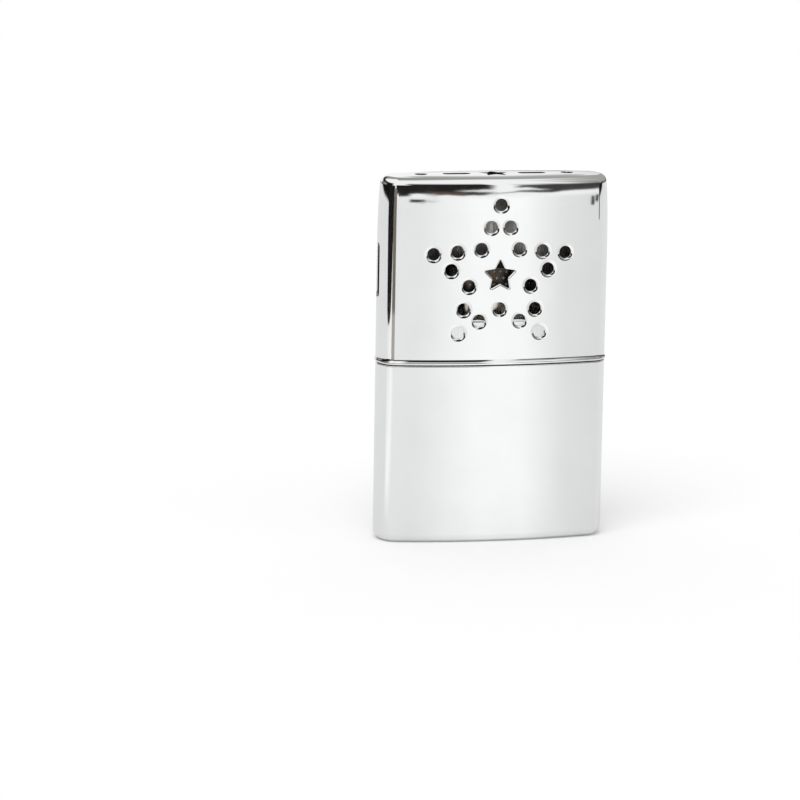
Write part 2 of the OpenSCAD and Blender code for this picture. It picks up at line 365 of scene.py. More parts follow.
class Outline:
    """A closed plan outline made of stretches of constant curvature, run anticlockwise."""

    def __init__(
        self, start: tuple[float, float], heading: float, stretches: list[tuple[float, float]]
    ) -> None:
        """Works out where each stretch begins.

        Args:
            start: The first point.
            heading: Direction of travel there, in radians from +X.
            stretches: Length and curvature of each stretch, in order.
        """
        self.curvature = np.array([c for _, c in stretches])
        lengths = np.array([length for length, _ in stretches])
        self.starts = np.concatenate([[0.0], np.cumsum(lengths)])
        self.length = float(self.starts[-1])
        turns = np.concatenate([[0.0], np.cumsum(lengths * self.curvature)])
        self.heading = heading + turns[:-1]
        middle = self.heading + lengths * self.curvature / 2
        chord = lengths * np.sinc(lengths * self.curvature / 2 / np.pi)
        steps = np.stack([chord * np.cos(middle), chord * np.sin(middle)], axis=1)
        self.corners = np.array(start) + np.concatenate(
            [[[0.0, 0.0]], np.cumsum(steps, axis=0)[:-1]]
        )

    def locate(self, s: Array) -> tuple[Array, Array]:
        """Gives points and outward normals.

        A chord of an arc turned by t over length d is d times sin(t/2)/(t/2) long and points
        half way through the turn.

        Args:
            s: Distances along the outline.

        Returns:
            Points and unit normals, each with a last axis of two.
        """
        s = np.mod(s, self.length)
        i = np.clip(np.searchsorted(self.starts, s, side="right") - 1, 0, len(self.heading) - 1)
        along = s - self.starts[i]
        turn = self.curvature[i] * along
        chord = along * np.sinc(turn / 2 / np.pi)
        middle = self.heading[i] + turn / 2
        point = self.corners[i] + chord[..., None] * np.stack(
            [np.cos(middle), np.sin(middle)], axis=-1
        )
        heading = self.heading[i] + turn
        return point, np.stack([np.sin(heading), -np.cos(heading)], axis=-1)

    def columns(self, step: list[float]) -> Array:
        """Gives places along the outline, with every stretch's ends among them.

        Args:
            step: The wanted spacing on each stretch; each gets an even number of steps.

        Returns:
            Distances along the outline, from 0 up.
        """
        lengths = np.diff(self.starts)
        parts = [
            np.linspace(a, a + length, 2 * max(1, round(length / gap / 2)), endpoint=False)
            for a, length, gap in zip(self.starts, lengths, step)
        ]
        return np.concatenate(parts)


def stadium(length: float, width: float) -> Outline:
    """Gives an oblong outline with round ends, from the middle of its right end.

    Args:
        length: Its whole length, along X.
        width: Its width, which is also its ends' diameter.

    Returns:
        The outline.
    """
    end, side = math.pi * width / 4, length - width
    bend = 2 / width
    return Outline(
        (length / 2, 0.0),
        math.pi / 2,
        [(end, bend), (side, 0.0), (2 * end, bend), (side, 0.0), (end, bend)],
    )


class Cut(Enum):
    """The shapes that the punches leave."""

    ROUND = "round"
    SLOT = "slot"
    STAR = "star"


# Sides of a round opening.
ROUND_SIDES = 40
# Spacing of a slot's points on its five stretches.
SLOT_STEPS = [0.3, 0.7, 0.3, 0.7, 0.3]
# Radii of a star's rounded tips and inner corners.
STAR_ROUNDING = (0.22, 0.6)


@dataclass(frozen=True)
class Opening:
    """One punched opening whose rim the punch has pressed inwards.

    Attributes:
        cut: Its shape.
        centre: Its middle, in the flat coordinates of its sheet.
        size: Diameter; or width and length; or radii of tips and of inner corners.
        rim: How far from the opening the sheet starts to dip.
        press: How deep the sheet dips.
        upright: Whether a slot's length runs along the second coordinate.
        burr: The radius of the cut's edges.
    """

    cut: Cut
    centre: tuple[float, float]
    size: tuple[float, ...]
    rim: float = 0.85
    press: float = 0.2
    upright: bool = False
    burr: float = 0.11

    def contour(self, out: float) -> Array:
        """Gives the opening's edge, moved outwards.

        Args:
            out: How far outwards.

        Returns:
            Anticlockwise points, the same number for any value of out.
        """
        centre = np.array(self.centre)
        if self.cut is Cut.ROUND:
            a = np.linspace(0, 2 * np.pi, ROUND_SIDES, endpoint=False)
            return centre + (self.size[0] / 2 + out) * np.stack([np.cos(a), np.sin(a)], axis=1)
        if self.cut is Cut.SLOT:
            width, length = self.size
            outline = stadium(length, width)
            edge, normal = outline.locate(outline.columns(SLOT_STEPS))
            shape = edge + out * normal
            return centre + (shape @ np.array([[0, 1], [-1, 0]]) if self.upright else shape)
        return centre + self.rounded_star(out)

    def rounded_star(self, out: float) -> Array:
        """Gives a five-pointed star with rounded corners, one tip along +V.

        At each corner an arc touches both sides. Its centre lies inside the star at a tip
        and outside at an inner corner, so moving outwards adds to one radius and takes from
        the other.

        Args:
            out: How far outwards the whole edge is moved.

        Returns:
            Anticlockwise points.
        """
        i = np.arange(10)
        angle = np.pi / 2 + np.pi / 5 * i
        reach = np.where(i % 2 == 0, self.size[0], self.size[1])[:, None]
        corner = reach * np.stack([np.cos(angle), np.sin(angle)], axis=1)
        before = corner - np.roll(corner, 1, axis=0)
        before /= np.linalg.norm(before, axis=1, keepdims=True)
        after = np.roll(before, -1, axis=0)
        turn = np.arctan2(
            before[:, 0] * after[:, 1] - before[:, 1] * after[:, 0], (before * after).sum(1)
        )
        radius = np.where(turn > 0, *STAR_ROUNDING)
        side = np.sign(turn)
        reach_back = (radius * np.tan(np.abs(turn) / 2))[:, None]
        normal = np.stack([before[:, 1], -before[:, 0]], axis=1)
        centre = corner - reach_back * before - (side * radius)[:, None] * normal
        share = np.linspace(0, 1, 5)
        way = np.arctan2(normal[:, 1], normal[:, 0])[:, None] + turn[:, None] * share
        ray = np.stack([np.cos(way), np.sin(way)], axis=-1)
        arcs = centre[:, None] + (side * radius + out)[:, None, None] * ray
        # Two more points on each straight side keep its triangles short.
        here, there = arcs[:, -1:], np.roll(arcs, -1, axis=0)[:, :1]
        third = np.array([1 / 3, 2 / 3])[None, :, None]
        return np.concatenate([arcs, here + third * (there - here)], axis=1).reshape(-1, 2)

    def lip(self, wall: float) -> Array:
        """Gives the section of the pressed rim, from the outer face round to the inner one.

        The outer face dips with the square of the way in. The cut stands square to it, with
        slightly rounded edges, and the inner face returns as the outer one came.

        Args:
            wall: The sheet's thickness.

        Returns:
            Rows of: distance outwards, depth, and the normal's outward and upward parts.
        """
        q = np.linspace(0, 1, 8)
        slope = np.arctan(2 * self.press * q / self.rim)
        outer = np.stack(
            [self.rim * (1 - q), self.press * q**2, -np.sin(slope), np.cos(slope)], axis=1
        )
        steep = slope[-1]
        end = np.array([wall * math.sin(steep), self.press + wall * math.cos(steep)])
        rounded = []
        for sunk, first in ((self.burr, 0.0), (wall - self.burr, np.pi / 2)):
            a = steep + first + np.linspace(0, np.pi / 2, 5)
            out = sunk * math.sin(steep) - self.burr * np.sin(a)
            depth = self.press + sunk * math.cos(steep) - self.burr * np.cos(a)
            rounded.append(np.stack([out, depth, -np.sin(a), np.cos(a)], axis=1))
        back = q[::-1]
        fall = np.arctan(2 * (end[1] - wall) * back / (self.rim - end[0]))
        inner = np.stack(
            [
                self.rim - (self.rim - end[0]) * back,
                wall + (end[1] - wall) * back**2,
                np.sin(fall),
                -np.cos(fall),
            ],
            axis=1,
        )
        return np.concatenate([outer, rounded[0][1:], rounded[1][:-1], inner])


def inside(points: Array, polygon: Array) -> Array:
    """Tells which points lie in a polygon: a ray to the right crosses it an odd number of times.

    Args:
        points: The points.
        polygon: The polygon's corners.

    Returns:
        True for each point that lies in it.
    """
    x, y = points[:, :1], points[:, 1:]
    x0, y0 = polygon.T
    x1, y1 = np.roll(polygon, -1, axis=0).T
    spans = (y0 > y) != (y1 > y)
    rise = np.where(y1 == y0, 1.0, y1 - y0)
    return (spans & (x < x0 + (y - y0) * (x1 - x0) / rise)).sum(axis=1) % 2 == 1


def near(points: Array, others: Array, gap: float) -> Array:
    """Tells which points lie closer than gap to any of the others."""
    return (((points[:, None] - others[None]) ** 2).sum(-1) < gap**2).any(axis=1)


def triangulate(flat: Array, loops: list[Array], holes: list[Array]) -> Array:
    """Fills a flat set of points with triangles that keep to the given loops.

    Args:
        flat: Points in the plane.
        loops: Indices of the points along each closed loop.
        holes: Corners of each loop that stays empty.

    Returns:
        Three indices for each triangle, over the convex reach of the points less the holes.
    """
    edges = [pair for loop in loops for pair in zip(loop.tolist(), np.roll(loop, -1).tolist())]
    middle = flat.mean(axis=0)
    _, _, faces, origins, _, _ = delaunay_2d_cdt(
        list(map(Vector, (flat - middle).tolist())), edges, [], 0, 1e-6
    )
    first = np.fromiter((origin[0] for origin in origins), dtype=np.int64)
    faces = first[np.array(faces)]
    middles = flat[faces].mean(axis=1)
    for hole in holes:
        keep = ~inside(middles, hole)
        faces, middles = faces[keep], middles[keep]
    return faces


# ---------------- meshes


@dataclass
class Skin:
    """A mesh in the making: patches with their true normals, welded where they meet."""

    name: str
    points: list[Array] = field(default_factory=list)
    normals: list[Array] = field(default_factory=list)
    faces: list[tuple[Array, int]] = field(default_factory=list)
    count: int = 0

    def patch(self, points: Array, normals: Array, faces: Array, finish: int = 0) -> None:
        """Adds faces over new points.

        Args:
            points: Points in mm.
            normals: Their outward normals.
            faces: Three or four indices for each face; either winding will do.
            finish: Which of the piece's finishes they wear.
        """
        corners = points[faces]
        if faces.shape[1] == 4:
            across = np.cross(corners[:, 2] - corners[:, 0], corners[:, 3] - corners[:, 1])
        else:
            across = np.cross(corners[:, 1] - corners[:, 0], corners[:, 2] - corners[:, 0])
        wrong = (across * normals[faces].sum(axis=1)).sum(axis=1) < 0
        faces = np.where(wrong[:, None], faces[:, ::-1], faces)
        self.points.append(points)
        self.normals.append(normals)
        self.faces.append((faces + self.count, finish))
        self.count += len(points)

    def grid(
        self, points: Array, normals: Array, finish: int = 0, loop: bool = True, tube: bool = False
    ) -> None:
        """Adds a sheet of four-sided faces.

        Args:
            points: Rows by columns by three.
            normals: The same.
            finish: Which of the piece's finishes it wears.
            loop: Whether the last column joins the first.
            tube: Whether the last row joins the first.
        """
        rows, columns = points.shape[:2]
        index = np.arange(rows * columns).reshape(rows, columns)
        if loop:
            index = np.concatenate([index, index[:, :1]], axis=1)
        if tube:
            index = np.concatenate([index, index[:1]], axis=0)
        faces = np.stack([index[:-1, :-1], index[:-1, 1:], index[1:, 1:], index[1:, :-1]], axis=-1)
        self.patch(points.reshape(-1, 3), normals.reshape(-1, 3), faces.reshape(-1, 4), finish)

    def fan(self, points: Array, normals: Array) -> None:
        """Adds triangles that join the first point to the closed ring of the others.

        Args:
            points: The middle and then the ring.
            normals: Their outward normals.
        """
        sides = len(points) - 1
        k = np.arange(sides)
        self.patch(points, normals, np.stack([0 * k, k + 1, (k + 1) % sides + 1], axis=1))

    def sheet(
        self,
        surface: Surface,
        flat: Array,
        loops: list[Array],
        openings: list[Opening],
        wall: float,
        finishes: tuple[int, int],
        rim: tuple[Array, Array] | None = None,
    ) -> None:
        """Adds a punched sheet: its outer face, its inner face and its openings' rims.

        Args:
            surface: Gives points and normals of the outer face.
            flat: Flat coordinates of the sheet's own points.
            loops: Loops among them that the triangles keep to.
            openings: The openings, in flat coordinates.
            wall: The sheet's thickness, taken along the normals; 0 leaves out the inner face.
            finishes: The finishes of the outer and of the inner face.
            rim: Points and normals that stand for the first of the sheet's own points.
        """
        loops = list(loops)
        contours = [opening.contour(opening.rim) for opening in openings]
        start = len(flat)
        for contour in contours:
            loops.append(np.arange(start, start + len(contour)))
            start += len(contour)
        flat = np.concatenate([flat, *contours])
        faces = triangulate(flat, loops, contours)
        points, normals = surface(flat[:, 0], flat[:, 1])
        if rim is not None:
            points[: len(rim[0])], normals[: len(rim[1])] = rim
        self.patch(points, normals, faces, finishes[0])
        if wall:
            self.patch(points - wall * normals, -normals, faces, finishes[1])
        for opening in openings:
            self.lip(surface, opening, wall, finishes)

    def lip(
        self, surface: Surface, opening: Opening, wall: float, finishes: tuple[int, int]
    ) -> None:
        """Adds the pressed rim of one opening.

        Each row of its section follows the contour at its own distance outwards. The way
        outwards is that to the contour a small step wider.

        Args:
            surface: Gives points and normals of the sheet's outer face.
            opening: The opening.
            wall: The sheet's thickness.
            finishes: The finishes of the outer and of the inner face.
        """
        small_step = 0.02
        section = opening.lip(wall)
        base, normal, away = [], [], []
        for out in section[:, 0]:
            here, up = surface(*opening.contour(out).T)
            wider, _ = surface(*opening.contour(out + small_step).T)
            step = wider - here
            base.append(here)
            normal.append(up)
            away.append(step / np.linalg.norm(step, axis=1, keepdims=True))
        base, normal, away = np.array(base), np.array(normal), np.array(away)
        depth, n_out, n_up = (section[:, i, None, None] for i in (1, 2, 3))
        points = base - depth * normal
        normals = n_out * away + n_up * normal
        # The inner finish starts half way round the cut edge.
        half = len(section) // 2
        self.grid(points[: half + 1], normals[: half + 1], finishes[0])
        self.grid(points[half:], normals[half:], finishes[1])

    def build(self, finishes: list[Material], soft: bool = False) -> Piece:
        """Welds the patches and writes the mesh, in metres.

        Args:
            finishes: The piece's materials.
            soft: Whether to leave the shading normals to Blender, as suits a fibre mass.

        Returns:
            The new object, at the origin.
        """
        points, normals = np.concatenate(self.points), np.concatenate(self.normals)
        # The small offset keeps round numbers away from the edges of the rounding.
        keys = np.round((points + 0.371 * WELD) / WELD).astype(np.int64)
        _, first, weld = np.unique(keys, axis=0, return_index=True, return_inverse=True)
        weld = weld.ravel()
        lists, loops, wears, sides = [], [], [], []
        for faces, finish in self.faces:
            welded = weld[faces]
            flat = (welded == np.roll(welded, -1, axis=1)).any(axis=1)
            welded, faces = welded[~flat], faces[~flat]
            lists += welded.tolist()
            loops.append(faces.ravel())
            wears += [finish] * len(faces)
            sides.append(np.stack([welded, np.roll(welded, -1, axis=1)], axis=-1).reshape(-1, 2))
        mesh = bpy.data.meshes.new(self.name)
        mesh.from_pydata((points[first] * MM).tolist(), [], lists)
        mesh.polygons.foreach_set("use_smooth", np.ones(len(lists), dtype=bool))
        mesh.polygons.foreach_set("material_index", np.array(wears, dtype=np.int32))
        for finish in finishes:
            mesh.materials.append(finish)
        if not soft:
            mesh.normals_split_custom_set(normals[np.concatenate(loops)].tolist())
        mesh.update()
        obj = bpy.data.objects.new(self.name, mesh)
        bpy.context.scene.collection.objects.link(obj)
        _, uses = np.unique(np.sort(np.concatenate(sides), axis=1), axis=0, return_counts=True)
        LOG.info(
            "%s: %d faces, %d edges open or shared by more than two",
            self.name,
            len(lists),
            int((uses != 2).sum()),
        )
        return obj


def sweep(outline: Outline, s: Array, section: Array) -> tuple[Array, Array]:
    """Carries a section along an outline.

    Args:
        outline: The plan outline.
        s: The columns' places along it.
        section: Rows of inset, height, and the normal's outward and upward parts; with a
            middle axis where they differ from column to column.

    Returns:
        Points and normals, rows by columns by three.
    """
    point, normal = outline.locate(s)
    if section.ndim == 2:
        section = np.repeat(section[:, None], len(s), axis=1)
    inset, height, out, up = (section[..., i, None] for i in range(4))
    points = np.concatenate([point - inset * normal, height], axis=-1)
    return points, np.concatenate([out * normal, up], axis=-1)


def arc(
    centre: tuple[float, float], radius: float, start: float, end: float, steps: int = 8
) -> Array:
    """Gives an arc of a section.

    Args:
        centre: Inset and height of its centre.
        radius: Its radius; below 0 for the hollow side of an arc.
        start: Angle of the normal above the horizontal at its start, in degrees.
        end: The same at its end.
        steps: Number of steps.

    Returns:
        Rows of inset, height, and the normal's outward and upward parts.
    """
    a = np.radians(np.linspace(start, end, steps + 1))
    side, size = math.copysign(1.0, radius), abs(radius)
    out, up = np.cos(a), np.sin(a)
    return np.stack([centre[0] - size * out, centre[1] + size * up, side * out, side * up], axis=1)


def line(start: tuple[float, float], end: tuple[float, float], steps: int = 1) -> Array:
    """Gives a straight part of a section, with its normal on the left of the way along it.

    The section runs up the outer side, so that left of the way is away from the metal when
    insets are counted to the left.

    Args:
        start: Inset and height of its start.
        end: The same of its end.
        steps: Number of steps.

    Returns:
        Rows of inset, height, and the normal's outward and upward parts.
    """
    share = np.linspace(0, 1, steps + 1)[:, None]
    path = np.array(start) + share * (np.array(end) - np.array(start))
    way = np.array(end) - np.array(start)
    way = way / np.linalg.norm(way)
    normal = np.repeat([[way[1], way[0]]], steps + 1, axis=0)
    return np.concatenate([path, normal], axis=1)


def wrap(skin: Skin, outline: Outline, s: Array, sections: list[Array], finish: int = 0) -> None:
    """Adds each section, carried along the outline, to the skin."""
    for section in sections:
        skin.grid(*sweep(outline, s, section), finish)


def settle(obj: Piece, body: str, slot: str, *nodes: str) -> Piece:
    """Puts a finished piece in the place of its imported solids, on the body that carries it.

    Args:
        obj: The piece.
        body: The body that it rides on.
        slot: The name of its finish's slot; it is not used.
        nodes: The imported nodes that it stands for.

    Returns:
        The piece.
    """
    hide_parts(*nodes)
    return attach(obj, body)


# ---------------- the casing


@dataclass(frozen=True)
class Casing:
    """The flat oval form that the tank, the collar and the lid share."""

    width: float = 66.0
    depth: float = 20.0
    face_radius: float = 145.0
    end_bulge: float = 3.45
    corner_radius: float = 3.1
    seam: float = 50.95
    wall: float = 0.6
    end_step: float = 0.42
    corner_step: float = 0.22
    face_step: float = 1.1
    dome_fade: float = 4.5

    def end_radius(self) -> float:
        """Gives the radius of a narrow end, whose arc runs through both edges beside it.

        It is that of a circle with the bulge as its sagitta and those edges as its chord.

        Returns:
            The radius.
        """
        edge_x = self.width / 2 - self.end_bulge
        drop = self.face_radius - math.sqrt(self.face_radius**2 - edge_x**2)
        edge_y = self.depth / 2 - drop
        return (self.end_bulge**2 + edge_y**2) / (2 * self.end_bulge)

    @cached_property
    def outline(self) -> Outline:
        """Gives the plan outline, from the middle of the right end.

        Each corner's arc touches a face's arc and an end's arc from inside, so its centre
        lies where circles of their radii less its own cross.

        Returns:
            The outline, with nine stretches.
        """
        end_radius, corner = self.end_radius(), self.corner_radius
        face_y = self.face_radius - self.depth / 2
        end_x = self.width / 2 - end_radius
        to_face, to_end = self.face_radius - corner, end_radius - corner
        apart = math.hypot(end_x, face_y)
        along = (to_face**2 - to_end**2 + apart**2) / (2 * apart)
        off = math.sqrt(to_face**2 - along**2)
        x = (along * end_x + off * face_y) / apart
        y = (along * face_y - off * end_x) / apart
        face_meets = math.atan2(y, x)
        end_meets = math.atan2(y - face_y, x - end_x)
        half_end = (end_radius * end_meets, 1 / end_radius)
        bend = (corner * (face_meets - end_meets), 1 / corner)
        face = (self.face_radius * (math.pi - 2 * face_meets), 1 / self.face_radius)
        end = (2 * half_end[0], 1 / end_radius)
        return Outline(
            (self.width / 2, 0.0),
            math.pi / 2,
            [half_end, bend, face, bend, end, bend, face, bend, half_end],
        )

    def dome(self, inset: float) -> Callable[[Array, Array], Array]:
        """Gives a smooth bulge over the plan: 1 in the middle and 0 along an inset edge.

        Across the depth it is a parabola between the faces' arcs. Along the width it is one
        less an exponential of the way to the ends' arcs. A floor under the root keeps points
        past the ends' arcs harmless.

        Args:
            inset: How far inside the outline the edge lies.

        Returns:
            The bulge as a function of x and y.
        """
        face, end = self.face_radius - inset, self.end_radius() - inset
        face_y = self.face_radius - self.depth / 2
        end_x = self.width / 2 - self.end_radius()

        def bulge(x: Array, y: Array) -> Array:
            """Gives the bulge's height, from 0 to 1.

            Args:
                x: Places along the width.
                y: Places across the depth.

            Returns:
                The height at each place.
            """
            half_depth = np.sqrt(face**2 - x**2) - face_y
            half_width = end_x + np.sqrt(np.maximum(end**2 - y**2, 0.2 * end**2))
            along = 1 - np.exp(-np.maximum(half_width - np.abs(x), 0) / self.dome_fade)
            return (1 - (y / half_depth) ** 2) * along

        return bulge

    @cached_property
    def columns(self) -> Array:
        """Gives the places of the mesh's columns along the outline."""
        end, bend, face = self.end_step, self.corner_step, self.face_step
        return self.outline.columns([end, bend, face, bend, end, bend, face, bend, end])

    def wrap(self, skin: Skin, sections: list[Array], finish: int = 0) -> None:
        """Adds each section, carried round the casing, to the skin."""
        wrap(skin, self.outline, self.columns, sections, finish)


@dataclass(frozen=True)
class Deck:
    """A flat or gently crowned cap inside a rim that lies all round it.

    Attributes:
        rim: The rim's points.
        normals: The rim's normals.
        crown: Height of its middle over the rim.
        bulge: The crown's shape over x and y, 1 in the middle; none for a flat cap.
        side: 1 for a cap that looks up, -1 for one that looks down.
    """

    rim: Array
    normals: Array
    crown: float = 0.0
    bulge: Callable[[Array, Array], Array] | None = None
    side: int = 1

    def height(self, x: Array, y: Array) -> Array:
        """Gives the height above the rim."""
        return np.zeros_like(x) if self.bulge is None else self.crown * self.bulge(x, y)

    def surface(self, x: Array, y: Array) -> tuple[Array, Array]:
        """Gives points, and normals from the slopes over a small step to either side.

        Args:
            x: Places along the width.
            y: Places across the depth.

        Returns:
            Points and unit normals.
        """
        step = 0.05
        z = self.rim[:, 2].mean() + self.side * self.height(x, y)
        slope_x = self.height(x + step, y) - self.height(x - step, y)
        slope_y = self.height(x, y + step) - self.height(x, y - step)
        normal = np.stack([-slope_x, -slope_y, np.full_like(x, 2 * step)], axis=-1)
        normal /= np.linalg.norm(normal, axis=-1, keepdims=True)
        return np.stack([x, y, z], axis=-1), normal * [1.0, 1.0, self.side]

    def lattice(self, step: float, openings: list[Opening]) -> Array:
        """Gives points on a square lattice, clear of the rim and of the openings.

        Args:
            step: The lattice's spacing.
            openings: The openings.

        Returns:
            The points, in x and y.
        """
        plan = self.rim[:, :2]
        reach = np.abs(plan).max(axis=0)
        axes = [np.arange(-math.ceil(r / step), math.ceil(r / step) + 1) * step for r in reach]
        dots = np.stack(np.meshgrid(*axes, indexing="ij"), axis=-1).reshape(-1, 2)
        dots = dots[inside(dots, plan) & ~near(dots, plan, 0.6 * step)]
        for opening in openings:
            contour = opening.contour(opening.rim)
            dots = dots[~inside(dots, contour) & ~near(dots, contour, 0.4 * step)]
        return dots

    def cap(
        self,
        skin: Skin,
        step: float,
        openings: list[Opening],
        wall: float,
        finishes: tuple[int, int],
    ) -> None:
        """Closes a shell with the deck, whose rim is a row that the shell already has.

        Args:
            skin: The shell's mesh.
            step: Spacing of the deck's inner points.
            openings: Openings in it.
            wall: The sheet's thickness, or 0 for one face alone.
            finishes: The finishes of the outer and of the inner face.
        """
        flat = np.concatenate([self.rim[:, :2], self.lattice(step, openings)])
        loops, rim = [np.arange(len(self.rim))], (self.rim, self.normals)
        skin.sheet(self.surface, flat, loops, openings, wall, finishes, rim)

    def plate(self, skin: Skin, rings: list[Array], dots: Array, wall: float, finish: int) -> None:
        """Closes a shell with the deck as a plate with square-cut holes.

        A hole's edge drops straight down and looks towards the hole's middle.

        Args:
            skin: The shell's mesh.
            rings: The holes' outlines.
            dots: Other points of the plate.
            wall: The plate's thickness.
            finish: The finish of its underside and of the holes' edges.
        """
        flat = np.concatenate([self.rim[:, :2], *rings, dots])
        loops, start = [np.arange(len(self.rim))], len(self.rim)
        for ring in rings:
            loops.append(np.arange(start, start + len(ring)))
            start += len(ring)
        faces = triangulate(flat, loops, rings)
        points, up = self.surface(flat[:, 0], flat[:, 1])
        skin.patch(points, up, faces, 0)
        drop = np.array([0.0, 0.0, wall])
        skin.patch(points - drop, -up, faces, finish)
        for loop in loops[1:]:
            edge = points[loop]
            towards = edge.mean(axis=0) - edge
            skin.grid(np.stack([edge, edge - drop]), np.stack([towards, towards]), finish)


@dataclass(frozen=True)
class Lid:
    """The lift-off lid: a drawn shell with a rolled bead, punched with a star of holes."""

    casing: Casing
    height: float = 52.55
    fillet: float = 2.35
    draw_in: float = 0.6
    draw_height: float = 27.0
    drawn_to: float = 101.2
    crown: float = 0.3
    crown_over: float = 0.2
    bead_top: float = 52.62
    bead_proud: float = 0.3
    bead_edge: float = 0.32
    bead_crest: float = 0.6
    bead_root: float = 2.2
    star_z: float = 76.2
    tip_radius: float = 19.85
    waist_radius: float = 9.3
    hole: float = 3.6
    star_cut: tuple[float, float] = (4.7, 2.35)
    end_slot: tuple[float, float] = (3.0, 15.4)
    end_slot_z: float = 77.0
    top_slot: tuple[float, float] = (3.0, 8.0)
    top_slot_x: float = 10.8
    top_hole_x: float = 21.0
    wall_rows: int = 50
    fillet_rows: int = 13
    top_step: float = 1.1

    def lean(self, z: Array) -> tuple[Array, Array]:
        """Gives how far the wall is drawn in at a height, and the angle that it leans.

        The inset grows as the fourth power of the way up the drawn part.

        Args:
            z: The height.

        Returns:
            The inset and the angle, in radians.
        """
        way = np.clip(1 - (self.drawn_to - z) / self.draw_height, 0, None)
        slope = 4 * self.draw_in * way**3 / self.draw_height
        return self.draw_in * way**4, np.arctan(slope)

    def wall(self, s: Array, z: Array) -> tuple[Array, Array]:
        """Gives the outer wall: points drawn in from the outline, and normals that lean.

        Args:
            s: Places along the outline.
            z: Heights.

        Returns:
            Points and unit normals.
        """
        point, normal = self.casing.outline.locate(s)
        inset, angle = (v[..., None] for v in self.lean(z))
        points = np.concatenate([point - inset * normal, z[..., None]], axis=-1)
        return points, np.concatenate([np.cos(angle) * normal, np.sin(angle)], axis=-1)

    def pattern(self) -> Array:
        """Gives the twenty holes' places: a star's tips, its inner corners and the midways.

        Returns:
            Places across and above the star's middle.
        """
        i = np.arange(10)
        reach = np.where(i % 2 == 0, self.tip_radius, self.waist_radius)[:, None]
        corner = reach * np.stack([np.sin(np.pi / 5 * i), np.cos(np.pi / 5 * i)], axis=1)
        return np.concatenate([corner, (corner + np.roll(corner, -1, axis=0)) / 2])

    def front_openings(self, middle: float) -> list[Opening]:
        """Gives the front's openings.

        Args:
            middle: The place of the front's middle along the outline.

        Returns:
            The openings over the place along the outline and height.
        """
        radius = self.casing.face_radius
        spots = self.pattern()
        places = middle + radius * np.arcsin(spots[:, 0] / radius)
        holes = [
            Opening(Cut.ROUND, (s, self.star_z + z), (self.hole,))
            for s, z in zip(places.tolist(), spots[:, 1].tolist())
        ]
        star = Opening(Cut.STAR, (middle, self.star_z), self.star_cut, rim=0.5, press=0.2)
        return [*holes, star]

    def top_openings(self) -> list[Opening]:
        """Gives the top's openings, cut without a dip: hole, slot, star, slot, hole.

        Returns:
            The openings over x and y.
        """
        flat = {"rim": 0.3, "press": 0.0, "burr": 0.05}
        openings = [Opening(Cut.STAR, (0.0, 0.0), self.star_cut, **flat)]
        for side in (-1, 1):
            slot_at, hole_at = (side * self.top_slot_x, 0.0), (side * self.top_hole_x, 0.0)
            openings.append(Opening(Cut.SLOT, slot_at, self.top_slot, **flat))
            openings.append(Opening(Cut.ROUND, hole_at, (self.hole,), **flat))
        return openings

    def edge_height(self) -> float:
        """Gives where the wall ends and the rounded top edge starts.

        The edge rises by its radius times one less the sine of the wall's lean.

        Returns:
            The height.
        """
        _, lean = self.lean(np.array(self.drawn_to))
        top = self.casing.seam + self.height + self.crown_over
        return top - self.crown - self.fillet * (1 - math.sin(float(lean)))

    def bead(self, skin: Skin) -> None:
        """Adds the bead: a rounded edge, a band that stands proud, and a swell to the wall.

        Args:
            skin: The lid's mesh.
        """
        low, wall, top = self.casing.seam, self.casing.wall, self.bead_top
        proud, edge = self.bead_proud, self.bead_edge
        crest, root = self.bead_crest, self.bead_root
        tilt = math.acos(1 - proud / (crest + root))
        band_top = top - (crest + root) * math.sin(tilt)
        outer = [
            arc((edge - proud, low + edge), edge, -90, 0),
            line((-proud, low + edge), (-proud, band_top)),
            arc((crest - proud, band_top), crest, 0, math.degrees(tilt)),
            arc((-root, top), -root, math.degrees(tilt) + 180, 180),
        ]
        self.casing.wrap(skin, outer)
        inner = [line((wall, top), (wall, low)), line((wall, low), (edge - proud, low))]
        self.casing.wrap(skin, inner, 1)

    def sides(self, skin: Skin) -> None:
        """Adds the wall in four punched sides, which meet at the middles of the corners.

        Args:
            skin: The lid's mesh.
        """
        start, round_once = self.casing.outline.starts, self.casing.outline.length
        cuts = [(start[i] + start[i + 1]) / 2 for i in (1, 3, 5, 7)]
        left, front = ((start[i] + start[i + 1]) / 2 for i in (4, 6))
        slots = [
            Opening(Cut.SLOT, (place, self.end_slot_z), self.end_slot, 0.5, 0.25, upright=True)
            for place in (left, round_once)
        ]
        sides = [
            (cuts[0], cuts[1], []),
            (cuts[1], cuts[2], slots[:1]),
            (cuts[2], cuts[3], self.front_openings(front)),
            (cuts[3], cuts[0] + round_once, slots[1:]),
        ]
        z = np.linspace(self.bead_top, self.edge_height(), self.wall_rows)
        twice = np.concatenate([self.casing.columns, self.casing.columns + round_once])
        for first, last, openings in sides:
            own = twice[(twice > first - 1e-6) & (twice < last + 1e-6)]
            self.panel(skin, own, z, openings)

    def panel(self, skin: Skin, s: Array, z: Array, openings: list[Opening]) -> None:
        """Adds one side of the wall, over a lattice of places and heights.

        Args:
            skin: The lid's mesh.
            s: The side's columns.
            z: The side's rows.
            openings: The side's openings.
        """
        clear = 0.35
        dots = np.stack(np.meshgrid(s, z, indexing="ij"), axis=-1).reshape(-1, 2)
        edge = np.isin(dots[:, 0], s[[0, -1]]) | np.isin(dots[:, 1], z[[0, -1]])
        keep = np.ones(len(dots), dtype=bool)
        for opening in openings:
            contour = opening.contour(opening.rim)
            keep &= ~inside(dots, contour) & ~near(dots, contour, clear)
        skin.sheet(self.wall, dots[keep | edge], [], openings, self.casing.wall, (0, 1))

